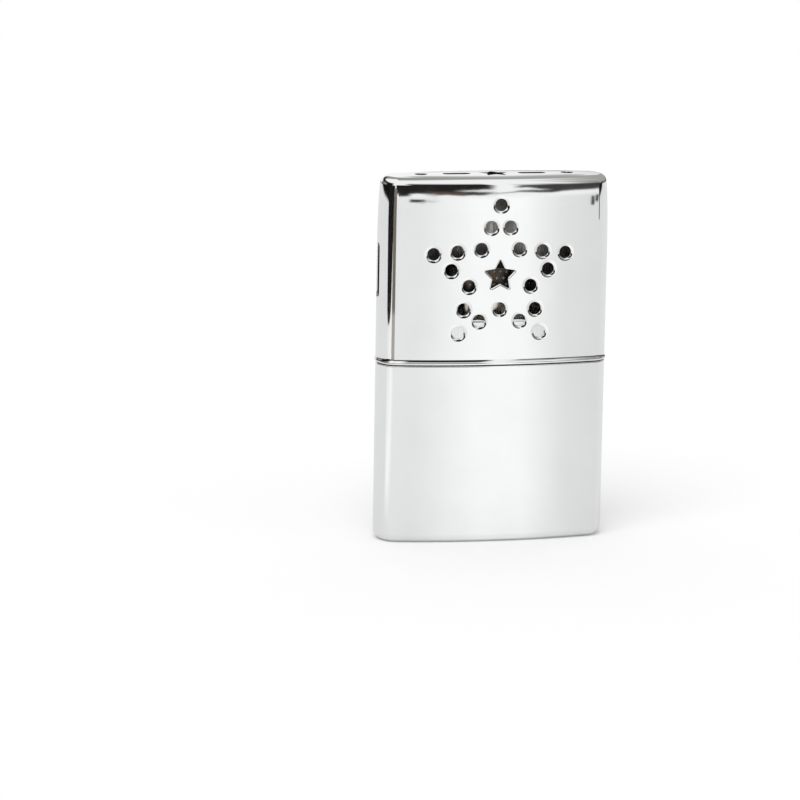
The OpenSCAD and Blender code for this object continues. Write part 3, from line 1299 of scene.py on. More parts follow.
    def top(self, skin: Skin) -> None:
        """Adds the rounded top edge and the crowned, punched top.

        At each column the edge turns from the wall's lean to the crown's slope.

        Args:
            skin: The lid's mesh.
        """
        edge_z = self.edge_height()
        inset, lean = (float(v) for v in self.lean(np.array(edge_z)))
        middle = (inset + self.fillet * math.cos(lean), edge_z - self.fillet * math.sin(lean))
        outline, s = self.casing.outline, self.casing.columns
        point, normal = outline.locate(s)
        dome = self.casing.dome(middle[0])
        step = 0.05
        inward = point - (middle[0] + step) * normal
        slope = np.arctan(self.crown * dome(inward[:, 0], inward[:, 1]) / step)
        share = np.linspace(0, 1, self.fillet_rows)[:, None]
        a = lean + share * (np.pi / 2 - slope - lean)
        out, up = np.cos(a), np.sin(a)
        wall = self.casing.wall
        rounded = []
        for radius, side in ((self.fillet, 1), (self.fillet - wall, -1)):
            path = [middle[0] - radius * out, middle[1] + radius * up]
            section = np.stack([*path, side * out, side * up], axis=-1)
            rounded.append(sweep(outline, s, section))
            skin.grid(*rounded[-1], len(rounded) - 1)
        deck = Deck(*(part[-1] for part in rounded[0]), self.crown, dome)
        deck.cap(skin, self.top_step, self.top_openings(), wall, (0, 1))

    def build(self, chrome: Material, dull: Material) -> Piece:
        """Makes the lid: bead, walls, rounded top edge and crowned top.

        Args:
            chrome: The finish of its outer face.
            dull: The finish of its inner face.

        Returns:
            The lid.
        """
        skin = Skin("lid_dressed")
        self.bead(skin)
        self.sides(skin)
        self.top(skin)
        return settle(skin.build([chrome, dull]), "lid", "lid_plating", "lid_shell")


@dataclass(frozen=True)
class Tank:
    """The fuel tank: a plain drawn shell with a rounded base and an inturned shoulder."""

    casing: Casing
    base_fillet: float = 2.4
    shoulder_fillet: float = 0.35
    shoulder_inset: float = 0.75
    groove: tuple[float, float] = (0.45, 0.3)
    hollow: float = -0.25
    base_step: float = 1.5

    def build(self, chrome: Material, dull: Material, groove_shade: Material) -> Piece:
        """Makes the tank: base, rounded edges, wall, grooved shoulder and the inside.

        Args:
            chrome: The finish of its outer face.
            dull: The finish of its inner face.
            groove_shade: The finish of the groove, a painted shade whose dark line is the seam's.

        Returns:
            The tank.
        """
        casing, skin = self.casing, Skin("tank_dressed")
        wall, top = casing.wall, casing.seam
        base, small, lip = self.base_fillet, self.shoulder_fillet, self.shoulder_inset
        into, step = self.groove[0], top - self.groove[1]
        foot = arc((base, base), base, -90, 0, 12)
        inner_foot = arc((base, base), wall - base, 0, -90, 8)
        outer = [
            foot,
            line((0.0, base), (0.0, step - small), 24),
            arc((small, step - small), small, 0, 90, 5),
        ]
        casing.wrap(skin, outer)
        # The groove's finish is a painted shade: near-black where the recess would be dark.
        groove = [line((small, step), (into, step)), line((into, step), (into, top))]
        casing.wrap(skin, groove, 2)
        shoulder = [
            line((into, top), (lip, top)),
            line((lip, top), (lip, top - wall)),
            line((lip, top - wall), (wall, top - wall)),
        ]
        casing.wrap(skin, shoulder)
        casing.wrap(skin, [line((wall, top - wall), (wall, base), 4), inner_foot], 1)
        for ring, side, finish in ((foot[:1], -1, 0), (inner_foot[-1:], 1, 1)):
            rim = (part[0] for part in sweep(casing.outline, casing.columns, ring))
            deck = Deck(*rim, -side * self.hollow, casing.dome(base), side)
            deck.cap(skin, self.base_step, [], 0.0, (finish, 1))
        return settle(skin.build([chrome, dull, groove_shade]), "tank", "tank_plating", "tank_shell")


@dataclass(frozen=True)
class Collar:
    """The collar that the lid slides over, drawn in one with the deck round the neck."""

    casing: Casing
    inset: float = 0.75
    wall: float = 0.6
    fillet: float = 1.2
    foot_z: float = 47.0
    deck_z: float = 64.0
    deck_step: float = 1.3
    neck: tuple[float, float] = (22.0, 8.6)
    neck_clear: float = 1.2

    def build(self, rubbed: Material, dull: Material) -> Piece:
        """Makes the collar: wall, rounded shoulder, and the deck with the neck's opening.

        Args:
            rubbed: The finish of its outer face.
            dull: The finish of its inner face.

        Returns:
            The collar.
        """
        casing, skin = self.casing, Skin("collar_dressed")
        out, inn, r = self.inset, self.inset + self.wall, self.fillet
        turn = (out + r, self.deck_z - r)
        shoulder = arc(turn, r, 0, 90, 8)
        sections = [
            line((inn, self.foot_z), (out, self.foot_z)),
            line((out, self.foot_z), (out, turn[1]), 12),
            shoulder,
        ]
        casing.wrap(skin, sections)
        under = [arc(turn, self.wall - r, 90, 0, 6), line((inn, turn[1]), (inn, self.foot_z), 4)]
        casing.wrap(skin, under, 1)
        rim = sweep(casing.outline, casing.columns, shoulder[-1:])
        deck = Deck(*(part[0] for part in rim))
        length, width = self.neck
        mouth = Opening(Cut.SLOT, (0.0, 0.0), (width, length), rim=self.neck_clear, press=0.0)
        dots = deck.lattice(self.deck_step, [mouth])
        deck.plate(skin, [mouth.contour(0.0)], dots, self.wall, 1)
        return settle(skin.build([rubbed, dull]), "tank", "collar_plating", "collar_cap")


@dataclass(frozen=True)
class Neck:
    """The oblong filler neck, with a rounded mouth and a foot soldered under the deck."""

    length: float = 22.0
    width: float = 8.6
    wall: float = 0.5
    top_z: float = 70.5
    foot_z: float = 62.9
    foot_out: float = 1.4
    foot_thick: float = 0.5

    def build(self, nickel: Material) -> Piece:
        """Makes the neck as one section carried round its oblong.

        Args:
            nickel: Its finish.

        Returns:
            The neck.
        """
        outline = stadium(self.length, self.width)
        skin = Skin("neck_dressed")
        half, foot_top = self.wall / 2, self.foot_z + self.foot_thick
        sections = [
            line((self.wall, self.foot_z), (-self.foot_out, self.foot_z)),
            line((-self.foot_out, self.foot_z), (-self.foot_out, foot_top)),
            line((-self.foot_out, foot_top), (0.0, foot_top)),
            line((0.0, foot_top), (0.0, self.top_z - half), 6),
            arc((half, self.top_z - half), half, 0, 180, 10),
            line((self.wall, self.top_z - half), (self.wall, self.foot_z), 6),
        ]
        wrap(skin, outline, outline.columns(OBLONG_STEPS), sections)
        return settle(skin.build([nickel]), "tank", "neck_plating", "filler_neck")


# ---------------- the burner


@dataclass(frozen=True)
class Burner:
    """The catalyst burner: skirt and flange, wire screen, glass-fibre mat and cover."""

    skirt: tuple[float, float] = (23.04, 9.64)
    flange: tuple[float, float] = (25.44, 12.04)
    cover: tuple[float, float] = (26.14, 12.74)
    deck_z: float = 64.0
    flange_z: float = 71.4
    rim_z: float = 70.3
    top_z: float = 78.6
    skirt_wall: float = 0.4
    skirt_root: float = 0.35
    flange_thick: float = 0.5
    cover_wall: float = 0.35
    cover_fillet: float = 1.0
    pitch: float = 1.75
    perforation: float = 0.85
    screen_thick: float = 0.4
    screen_pitch: float = 1.0
    wire_sides: int = 6
    gap: float = 0.25

    def build_skirt(self, nickel: Material) -> Piece:
        """Makes the skirt and its flange, with a rounded root, as one closed section.

        Args:
            nickel: Its finish.

        Returns:
            The skirt.
        """
        outline = stadium(*self.flange)
        skin = Skin("burner_skirt_dressed")
        out = (self.flange[0] - self.skirt[0]) / 2
        inn, root = out + self.skirt_wall, self.skirt_root
        under, low = self.flange_z - self.flange_thick, self.deck_z
        half, edge = self.skirt_wall / 2, self.flange_thick / 2
        sections = [
            arc((out + half, low + half), half, -180, 0, 8),
            line((out, low + half), (out, under - root), 6),
            arc((out - root, under - root), -root, 180, 90, 5),
            line((out - root, under), (edge, under)),
            arc((edge, under + edge), edge, -90, 90, 8),
            line((edge, self.flange_z), (inn, self.flange_z)),
            line((inn, self.flange_z), (inn, low + half), 6),
        ]
        wrap(skin, outline, outline.columns(OBLONG_STEPS), sections)
        return settle(skin.build([nickel]), "burner", "burner_steel", "burner_base")

    def perforation_ring(self) -> Array:
        """Gives the outline of a perforation round the origin."""
        a = np.linspace(0, 2 * np.pi, PERFORATION_SIDES, endpoint=False)
        return self.perforation / 2 * np.stack([np.cos(a), np.sin(a)], axis=1)

    def perforate(self, skin: Skin, outline: Outline, count: int, heights: Array) -> None:
        """Adds the perforated band of the cover as one cell, repeated and staggered.

        A cell is a rectangle with eight points round it and a hole of twice as many sides.
        Rows are half a cell apart in turn, and their points still meet, because every cell
        has a point at the middle of each side too.

        Args:
            skin: The mesh that gets the band.
            outline: The cover's outline.
            count: Number of holes round it.
            heights: Heights of the holes' middles, one pitch of rows apart.
        """
        pitch, rise = outline.length / count, float(heights[1] - heights[0])
        frame = np.array([[1, 0], [1, 1], [0, 1], [-1, 1], [-1, 0], [-1, -1], [0, -1], [1, -1]])
        cell = np.concatenate([frame * [pitch / 2, rise / 2], self.perforation_ring()])
        corners = len(frame)
        j = np.arange(corners)
        k, h = (j + 1) % corners, corners + 2 * j
        far = corners + (2 * j + 2) % PERFORATION_SIDES
        triangles = ((j, h + 1, h), (j, k, h + 1), (k, far, h + 1))
        faces = np.concatenate([np.stack(triangle, axis=1) for triangle in triangles])
        row, column = np.meshgrid(np.arange(len(heights)), np.arange(count), indexing="ij")
        row, column = row.ravel(), column.ravel()
        shift = np.stack([(column + row % 2 / 2) * pitch, heights[row]], axis=1)
        flat = cell[None] + shift[:, None]
        place, normal = outline.locate(flat[..., 0])
        height = flat[..., 1, None]
        starts = np.arange(len(shift))[:, None, None] * len(cell)
        every = (faces[None] + starts).reshape(-1, 3)
        layers = []
        for inset, side in ((0.0, 1), (self.cover_wall, -1)):
            points = np.concatenate([place - inset * normal, height], axis=-1)
            normals = np.concatenate([side * normal, np.zeros_like(height)], axis=-1)
            skin.patch(points.reshape(-1, 3), normals.reshape(-1, 3), every)
            layers.append(points)
        # The holes' edges look towards each hole's middle.
        ring = np.stack([layer[:, corners:] for layer in layers], axis=1)
        middle = ring.mean(axis=(1, 2), keepdims=True)
        index = np.arange(ring.size // 3).reshape(ring.shape[:3])
        index = np.concatenate([index, index[:, :, :1]], axis=2)
        outer, inner = index[:, 0], index[:, 1]
        quads = np.stack([outer[:, :-1], outer[:, 1:], inner[:, 1:], inner[:, :-1]], axis=-1)
        skin.patch(ring.reshape(-1, 3), (middle - ring).reshape(-1, 3), quads.reshape(-1, 4))

    def build_cover(self, steel: Material) -> Piece:
        """Makes the perforated cover: pressed rim, perforated band, rounded edge and top.

        Args:
            steel: Its finish.

        Returns:
            The cover.
        """
        outline = stadium(*self.cover)
        count = round(outline.length / self.pitch)
        s = np.arange(2 * count) * outline.length / (2 * count)
        skin = Skin("burner_cover_dressed")
        wall, r = self.cover_wall, self.cover_fillet
        heights = self.flange_z + self.pitch * np.arange(1, 4)
        low, high = float(heights[0] - self.pitch / 2), float(heights[-1] + self.pitch / 2)
        self.perforate(skin, outline, count, heights)
        turn = (r, self.top_z - r)
        edge = arc(turn, r, 0, 90, 8)
        sections = [
            line((wall, self.rim_z), (0.0, self.rim_z)),
            line((0.0, self.rim_z), (0.0, low)),
            line((0.0, high), (0.0, turn[1])),
            edge,
            arc(turn, -(r - wall), 90, 0, 8),
            line((wall, turn[1]), (wall, high)),
            line((wall, low), (wall, self.rim_z)),
        ]
        wrap(skin, outline, s, sections)
        deck = Deck(*(part[0] for part in sweep(outline, s, edge[-1:])))
        # Staggered rows, seven and eight holes in turn.
        rings = [
            self.pitch * np.array([i + row % 2 / 2, row]) + self.perforation_ring()
            for row in range(-2, 3)
            for i in range(-3 - row % 2, 4)
        ]
        deck.plate(skin, rings, np.zeros((0, 2)), wall, 0)
        return settle(skin.build([steel]), "burner", "burner_steel", "burner_cover")

    def weave(self, skin: Skin, along_x: bool, straight: float, reach: float) -> None:
        """Adds the screen's wires of one direction.

        Each wire is a tube along a wave that rises over one crossing wire and dips under the
        next, and it ends where the oblong's edge does.

        Args:
            skin: The screen's mesh.
            along_x: Whether the wires run along X; else along Y.
            straight: Half the length of the oblong's straight sides.
            reach: Half the oblong's width.
        """
        level, wire = self.flange_z + self.screen_thick / 2, self.screen_thick / 4
        pitch = self.screen_pitch
        a = np.linspace(0, 2 * np.pi, self.wire_sides, endpoint=False)
        each_way = math.floor((reach if along_x else straight + reach) / pitch)
        places = pitch * (np.arange(-each_way, each_way) + 0.5)
        for i, place in enumerate(places.tolist()):
            past = place if along_x else max(abs(place) - straight, 0)
            end = (straight if along_x else 0.0) + math.sqrt(max(reach**2 - past**2, 0))
            t = np.linspace(-end, end, max(5, 4 * round(2 * end)))
            wave = wire * np.sin(np.pi * (t / pitch + i + (0.0 if along_x else 1.0)))
            along = np.repeat(t[:, None], len(a), axis=1)
            across = np.repeat((place + wire * np.cos(a))[None], len(t), axis=0)
            height = level + wave[:, None] + wire * np.sin(a)
            axes = (along, across, height) if along_x else (across, along, height)
            points = np.stack(axes, axis=-1)
            core = points.mean(axis=1, keepdims=True)
            skin.grid(points, points - core)
            for row, way in ((0, -1), (-1, 1)):
                tip = np.concatenate([core[row], points[row]])
                out = np.zeros_like(tip)
                out[:, 0 if along_x else 1] = way
                skin.fan(tip, out)

    def build_screen(self, steel: Material) -> Piece:
        """Makes the woven wire screen and the round wire that binds its edge.

        The two sets of wires are half a wave apart and end under the binding.

        Args:
            steel: Its finish.

        Returns:
            The screen.
        """
        length, width = (v - 2 * self.gap for v in self.flange)
        level, wire = self.flange_z + self.screen_thick / 2, self.screen_thick / 4
        skin = Skin("burner_screen_dressed")
        half_l, half_w = length / 2 - 2 * wire, width / 2 - 2 * wire
        for along_x in (True, False):
            self.weave(skin, along_x, half_l - half_w, half_w)
        binding = stadium(length - 2 * wire, width - 2 * wire)
        s = binding.columns([0.5, 0.8, 0.5, 0.8, 0.5])
        ring = arc((0.0, level), wire, 0, 360, 8)[:-1]
        skin.grid(*sweep(binding, s, ring), tube=True)
        return settle(skin.build([steel]), "burner", "screen_steel", "mat_screen")

    def build_mat(self, fibre: Material) -> Piece:
        """Makes the glass-fibre mat as a padded form that fills the cover.

        Args:
            fibre: Its finish.

        Returns:
            The mat.
        """
        outline = stadium(*(v - 2 * self.gap for v in self.flange))
        plan, _ = outline.locate(outline.columns(PAD_STEPS))
        low = self.flange_z + self.screen_thick
        high = self.top_z - self.cover_wall - self.gap
        pad = Pad("catalyst_mat_dressed", plan, (low, high), lump_mm=2.2, lump_depth=0.22)
        obj = settle(pad.build(fibre), "burner", "glass_fibre", "catalyst_mat")
        return obj


# ---------------- the soft filling

# Spacing of the columns round an oblong pad.
PAD_STEPS = [0.3] * 5


@dataclass(frozen=True)
class Pad:
    """A crowned block of fibre with a given plan, whose sides are lumpy.

    The plan shrinks to a point at both ends along a high power of an ellipse, which gives
    flat sides with well rounded edges. Lumps are sums of slanting waves, taken inwards only.
    """

    name: str
    plan: Array
    span: tuple[float, float]
    lump_mm: float = 5.0
    lump_depth: float = 0.5
    power: float = 7.0
    rows: int = 55
    waves: int = 9
    seed: int = 4

    def build(self, fibre: Material) -> Piece:
        """Makes the block.

        Args:
            fibre: Its material.

        Returns:
            The new object.
        """
        low, high = self.span
        a = np.linspace(-np.pi / 2, np.pi / 2, self.rows + 2)[1:-1]
        share = np.abs(np.cos(a)) ** (2 / self.power)
        rise = np.sign(np.sin(a)) * np.abs(np.sin(a)) ** (2 / self.power)
        centre = self.plan.mean(axis=0)
        columns = len(self.plan)
        flat = centre + share[:, None, None] * (self.plan - centre)[None]
        height = np.repeat(((low + high) / 2 + rise * (high - low) / 2)[:, None], columns, axis=1)
        points = np.concatenate([flat, height[..., None]], axis=-1)
        away = points - np.array([*centre, (low + high) / 2])
        away /= np.linalg.norm(away, axis=-1, keepdims=True)
        points = points - self.lumps(points)[..., None] * away
        skin = Skin(self.name)
        skin.grid(points, away)
        for row, z, way in ((0, low, -1.0), (-1, high, 1.0)):
            end = np.concatenate([[[*centre, z]], points[row]])
            skin.fan(end, np.repeat([[0.0, 0.0, way]], len(end), axis=0))
        return skin.build([fibre], soft=True)

    def lumps(self, points: Array) -> Array:
        """Gives how far points sink: half the depth, more or less by a sum of waves.

        Args:
            points: The points.

        Returns:
            The depth at each point.
        """
        draw = np.random.default_rng(self.seed)
        ways = draw.normal(size=(self.waves, 3))
        ways /= np.linalg.norm(ways, axis=1, keepdims=True)
        rates = 2 * np.pi / (self.lump_mm * draw.uniform(0.6, 1.7, size=self.waves))
        shifts = draw.uniform(0, 2 * np.pi, size=self.waves)
        total = np.sin(points @ (ways * rates[:, None]).T + shifts).sum(axis=-1)
        return self.lump_depth * (0.5 + np.clip(total / 7, -0.5, 0.5))


@dataclass(frozen=True)
class FuelStore:
    """What holds the fuel: three wads of cotton in the tank and a felt wick in the neck."""

    casing: Casing
    inset: float = 1.65
    split: float = 0.4
    floor: float = 0.9
    top: float = 62.6
    wick: tuple[float, float] = (20.6, 7.2)
    wick_top: float = 69.9

    def wad_plan(self, index: int) -> Array:
        """Gives the plan of one wad: a third of the casing's inside, with soft corners.

        Along each direction from the wad's middle, the reach is the shorter of the ways to
        the casing and to the neighbouring wad, joined by a high power mean.

        Args:
            index: 0 for the left wad, 1 for the middle one and 2 for the right one.

        Returns:
            Points of the plan.
        """
        outline = self.casing.outline
        edge, normal = outline.locate(np.linspace(0, outline.length, 720, endpoint=False))
        edge = edge - self.inset * normal
        third, reach_x = self.casing.width / 3, edge[:, 0].max()
        low = max((index - 1.5) * third + self.split / 2, -reach_x)
        high = min((index - 0.5) * third - self.split / 2, reach_x)
        centre = np.array([(low + high) / 2, 0.0])
        spokes = edge - centre
        bearing = np.arctan2(spokes[:, 1], spokes[:, 0])
        angle = np.linspace(-np.pi, np.pi, 120, endpoint=False)
        wall = np.interp(angle, bearing, np.hypot(*spokes.T), period=2 * np.pi)
        side = (high - low) / 2 / np.maximum(np.abs(np.cos(angle)), 1e-3)
        power = 14
        reach = (wall**-power + side**-power) ** (-1 / power)
        return centre + reach[:, None] * np.stack([np.cos(angle), np.sin(angle)], axis=1)

    def build(self, cotton: Material, felt: Material) -> None:
        """Makes the three wads and the wick.

        Args:
            cotton: The wads' finish.
            felt: The wick's finish.
        """
        span = (self.floor, self.top)
        for index, place in enumerate(("left", "middle", "right")):
            name = f"cotton_{place}"
            pad = Pad(f"{name}_dressed", self.wad_plan(index), span, 9.0, 0.9, seed=index)
            settle(pad.build(cotton), "tank", "cotton", name)
        outline = stadium(*self.wick)
        plan, _ = outline.locate(outline.columns(PAD_STEPS))
        pad = Pad("neck_wick_dressed", plan, (self.top, self.wick_top), 1.6, 0.15, power=9.0)
        settle(pad.build(felt), "tank", "wick_felt", "neck_wick")


# ---------------- the studio

SMOOTH = {"interpolation_type": "SMOOTHSTEP"}
WHITE = (1.0, 1.0, 1.0, 1.0)


@dataclass(frozen=True)
class Panel:
    """A soft-edged panel of the room, as mirrors see it; angles are in degrees.

    Azimuth 0 is straight out from the front and grows to the right; elevation 0 is level.

    Attributes:
        colour: Its colour.
        azimuth: Where it starts and ends, from left to right.
        elevation: Where it starts and ends, upwards.
        soft: How far its side, lower and upper edges blur to either side.
    """

    colour: str
    azimuth: tuple[float, float]
    elevation: tuple[float, float]
    soft: tuple[float, float, float]

    def paint(self, tree: Tree, azimuth: Node, elevation: Node, behind: Node) -> Node:
        """Paints the panel over what is behind it.

        Args:
            tree: The surround's node tree.
            azimuth: A direction's azimuth, in radians.
            elevation: Its elevation, in radians.
            behind: The colour behind the panel.

        Returns:
            The colour with the panel in front.
        """
        angles = (*self.azimuth, *self.elevation, *self.soft)
        left, right, low, high, side, under, over = (math.radians(v) for v in angles)
        middle, half = (left + right) / 2, (right - left) / 2
        off = add_node(tree, "Math", {0: azimuth, 1: middle}, {"operation": "SUBTRACT"})
        turned = add_node(tree, "Math", {0: off, 1: math.pi, 2: -math.pi}, {"operation": "WRAP"})
        aside = add_node(tree, "Math", {0: turned}, {"operation": "ABSOLUTE"})
        edges = [
            (aside, half + side, half - side),
            (elevation, low - under, low + under),
            (elevation, high + over, high - over),
        ]
        share: object = 1.0
        for angle, start, end in edges:
            span = {"Value": angle, "From Min": start, "From Max": end}
            edge = add_node(tree, "MapRange", span, SMOOTH)
            share = add_node(tree, "Math", {0: edge, 1: share}, {"operation": "MULTIPLY"})
        colours = {6: behind, 7: linear(self.colour)}
        return add_node(tree, "Mix", {0: share, **colours}, {"data_type": "RGBA"})


def room() -> tuple[Panel, ...]:
    """Gives the panels of the white room, from the farthest to the nearest."""
    return (
        # Grey ceiling overhead, which comes down behind.
        Panel("#B2B1AF", (-200, 200), (86, 120), (5.0, 8.0, 5.0)),
        Panel("#9C9B99", (146, 204), (14, 110), (6.0, 1.5, 5.0)),
        # Grey wall to the right, with darker doorways low in it.
        Panel("#A9A8A5", (36, 165), (2, 52), (5.0, 3.0, 9.0)),
        Panel("#A9A8A5", (54, 150), (40, 68), (12.0, 6.0, 5.0)),
        Panel("#1D1B1A", (19, 112), (-0.1, 10), (3.0, 0.3, 14.0)),
        Panel("#191817", (46, 172), (-2.3, 4), (3.0, 0.4, 4.0)),
        # Dim glass in front to the right, which pales towards the ceiling.
        Panel("#3E3E3E", (12.5, 29), (-0.08, 16), (2.5, 0.2, 24.0)),
        Panel("#3E3E3E", (25, 45), (0.15, 16), (3.0, 0.3, 24.0)),
        # Dark wall in front to the left, brown at its foot.
        Panel("#242220", (-8.2, 13), (-0.12, 34), (0.7, 0.2, 12.0)),
        Panel("#242220", (-40, -7.2), (-0.12, 15), (0.7, 0.2, 3.0)),
        Panel("#242220", (-12, -7.8), (-0.9, 3), (0.8, 0.3, 1.0)),
        Panel("#5B4B41", (-3, 6.5), (-0.5, 0.35), (2.0, 0.15, 0.3)),
        Panel("#3A3938", (5, 10), (-0.45, 0.35), (1.5, 0.15, 0.2)),
        # Bright doorway between the two, a lens at eye level.
        Panel("#FFFFFF", (4, 25), (0.62, 0.92), (2.5, 0.15, 0.2)),
        Panel("#FFFFFF", (8.5, 21.5), (0.42, 1.2), (2.5, 0.2, 0.25)),
        Panel("#FFFFFF", (11.5, 17.5), (0.17, 60), (1.5, 0.15, 3.0)),
        # Dark doorway behind to the left, with a pale recess and a bright window beside it.
        Panel("#171615", (-178, -80), (-3.6, 28), (6.0, 0.4, 5.0)),
        Panel("#8F8E8B", (-143, -114), (1, 15), (7.0, 3.0, 4.0)),
        Panel("#FFFFFF", (-196, -152), (-1, 15), (6.0, 1.0, 3.0)),
        # Small dark things low in front.
        Panel("#9A9A9A", (-5.5, -1.5), (-2.05, -1.8), (1.2, 0.12, 0.12)),
        Panel("#080808", (-7.5, -4.1), (-2.3, -1.6), (0.6, 0.12, 0.12)),
        Panel("#08080C", (35.5, 36.6), (-3.7, -1.8), (0.15, 0.2, 0.2)),
        Panel("#18181E", (37.0, 37.8), (-3.1, -1.6), (0.15, 0.2, 0.2)),
    )


@dataclass(frozen=True)
class Card:
    """An upright card that only mirrors see, as photographers use.

    Attributes:
        name: Its name.
        colour: Its colour.
        foot: The points of its lower edge.
        high: Height of its upper edge.
    """

    name: str
    colour: str
    foot: tuple[tuple[float, float, float], ...]
    high: float

    def build(self) -> None:
        """Makes the card as the sheet between its two edges, which looks at the warmer."""
        material = bpy.data.materials.new(self.name)
        material.use_nodes = True
        shader = material.node_tree.nodes["Principled BSDF"]
        shader.inputs["Base Color"].default_value = linear(self.colour)
        shader.inputs["Roughness"].default_value = 0.9
        low = np.array(self.foot)
        top = low.copy()
        top[:, 2] = self.high
        towards = -low * [1.0, 1.0, 0.0]
        towards /= np.linalg.norm(towards, axis=1, keepdims=True)
        skin = Skin(self.name)
        skin.grid(np.stack([low, top]), np.stack([towards, towards]), loop=False)
        obj = skin.build([material])
        obj.visible_camera = obj.visible_diffuse = obj.visible_shadow = False
        obj.visible_transmission = False


def cards() -> tuple[Card, ...]:
    """Gives the cards: three beside the left end and a thin one beyond the right corner."""
    edge = ((-230, 95), (-205, 66), (-188, 48), (-150, 26), (-105, 12), (-60, 7), (-20, 7))
    edge += ((2, 12), (14, 45), (24, 80))
    plan = ((-261.0, -127.0), (-215.0, -189.0), (-153.0, -235.0))
    thin = ((278.0, -319.0, 48.0), (326.0, -275.0, 48.0))
    return (
        Card("black_card", "#0B0B0B", tuple((-345.0, y, z) for y, z in edge), 135.0),
        Card("brown_card", "#857B70", tuple((x, y, 21.0) for x, y in plan), 106.0),
        Card("pale_card", "#BEBAB3", tuple((x, y, 3.0) for x, y in plan), 21.0),
        Card("thin_card", "#3C3C3C", thin, 140.0),
    )


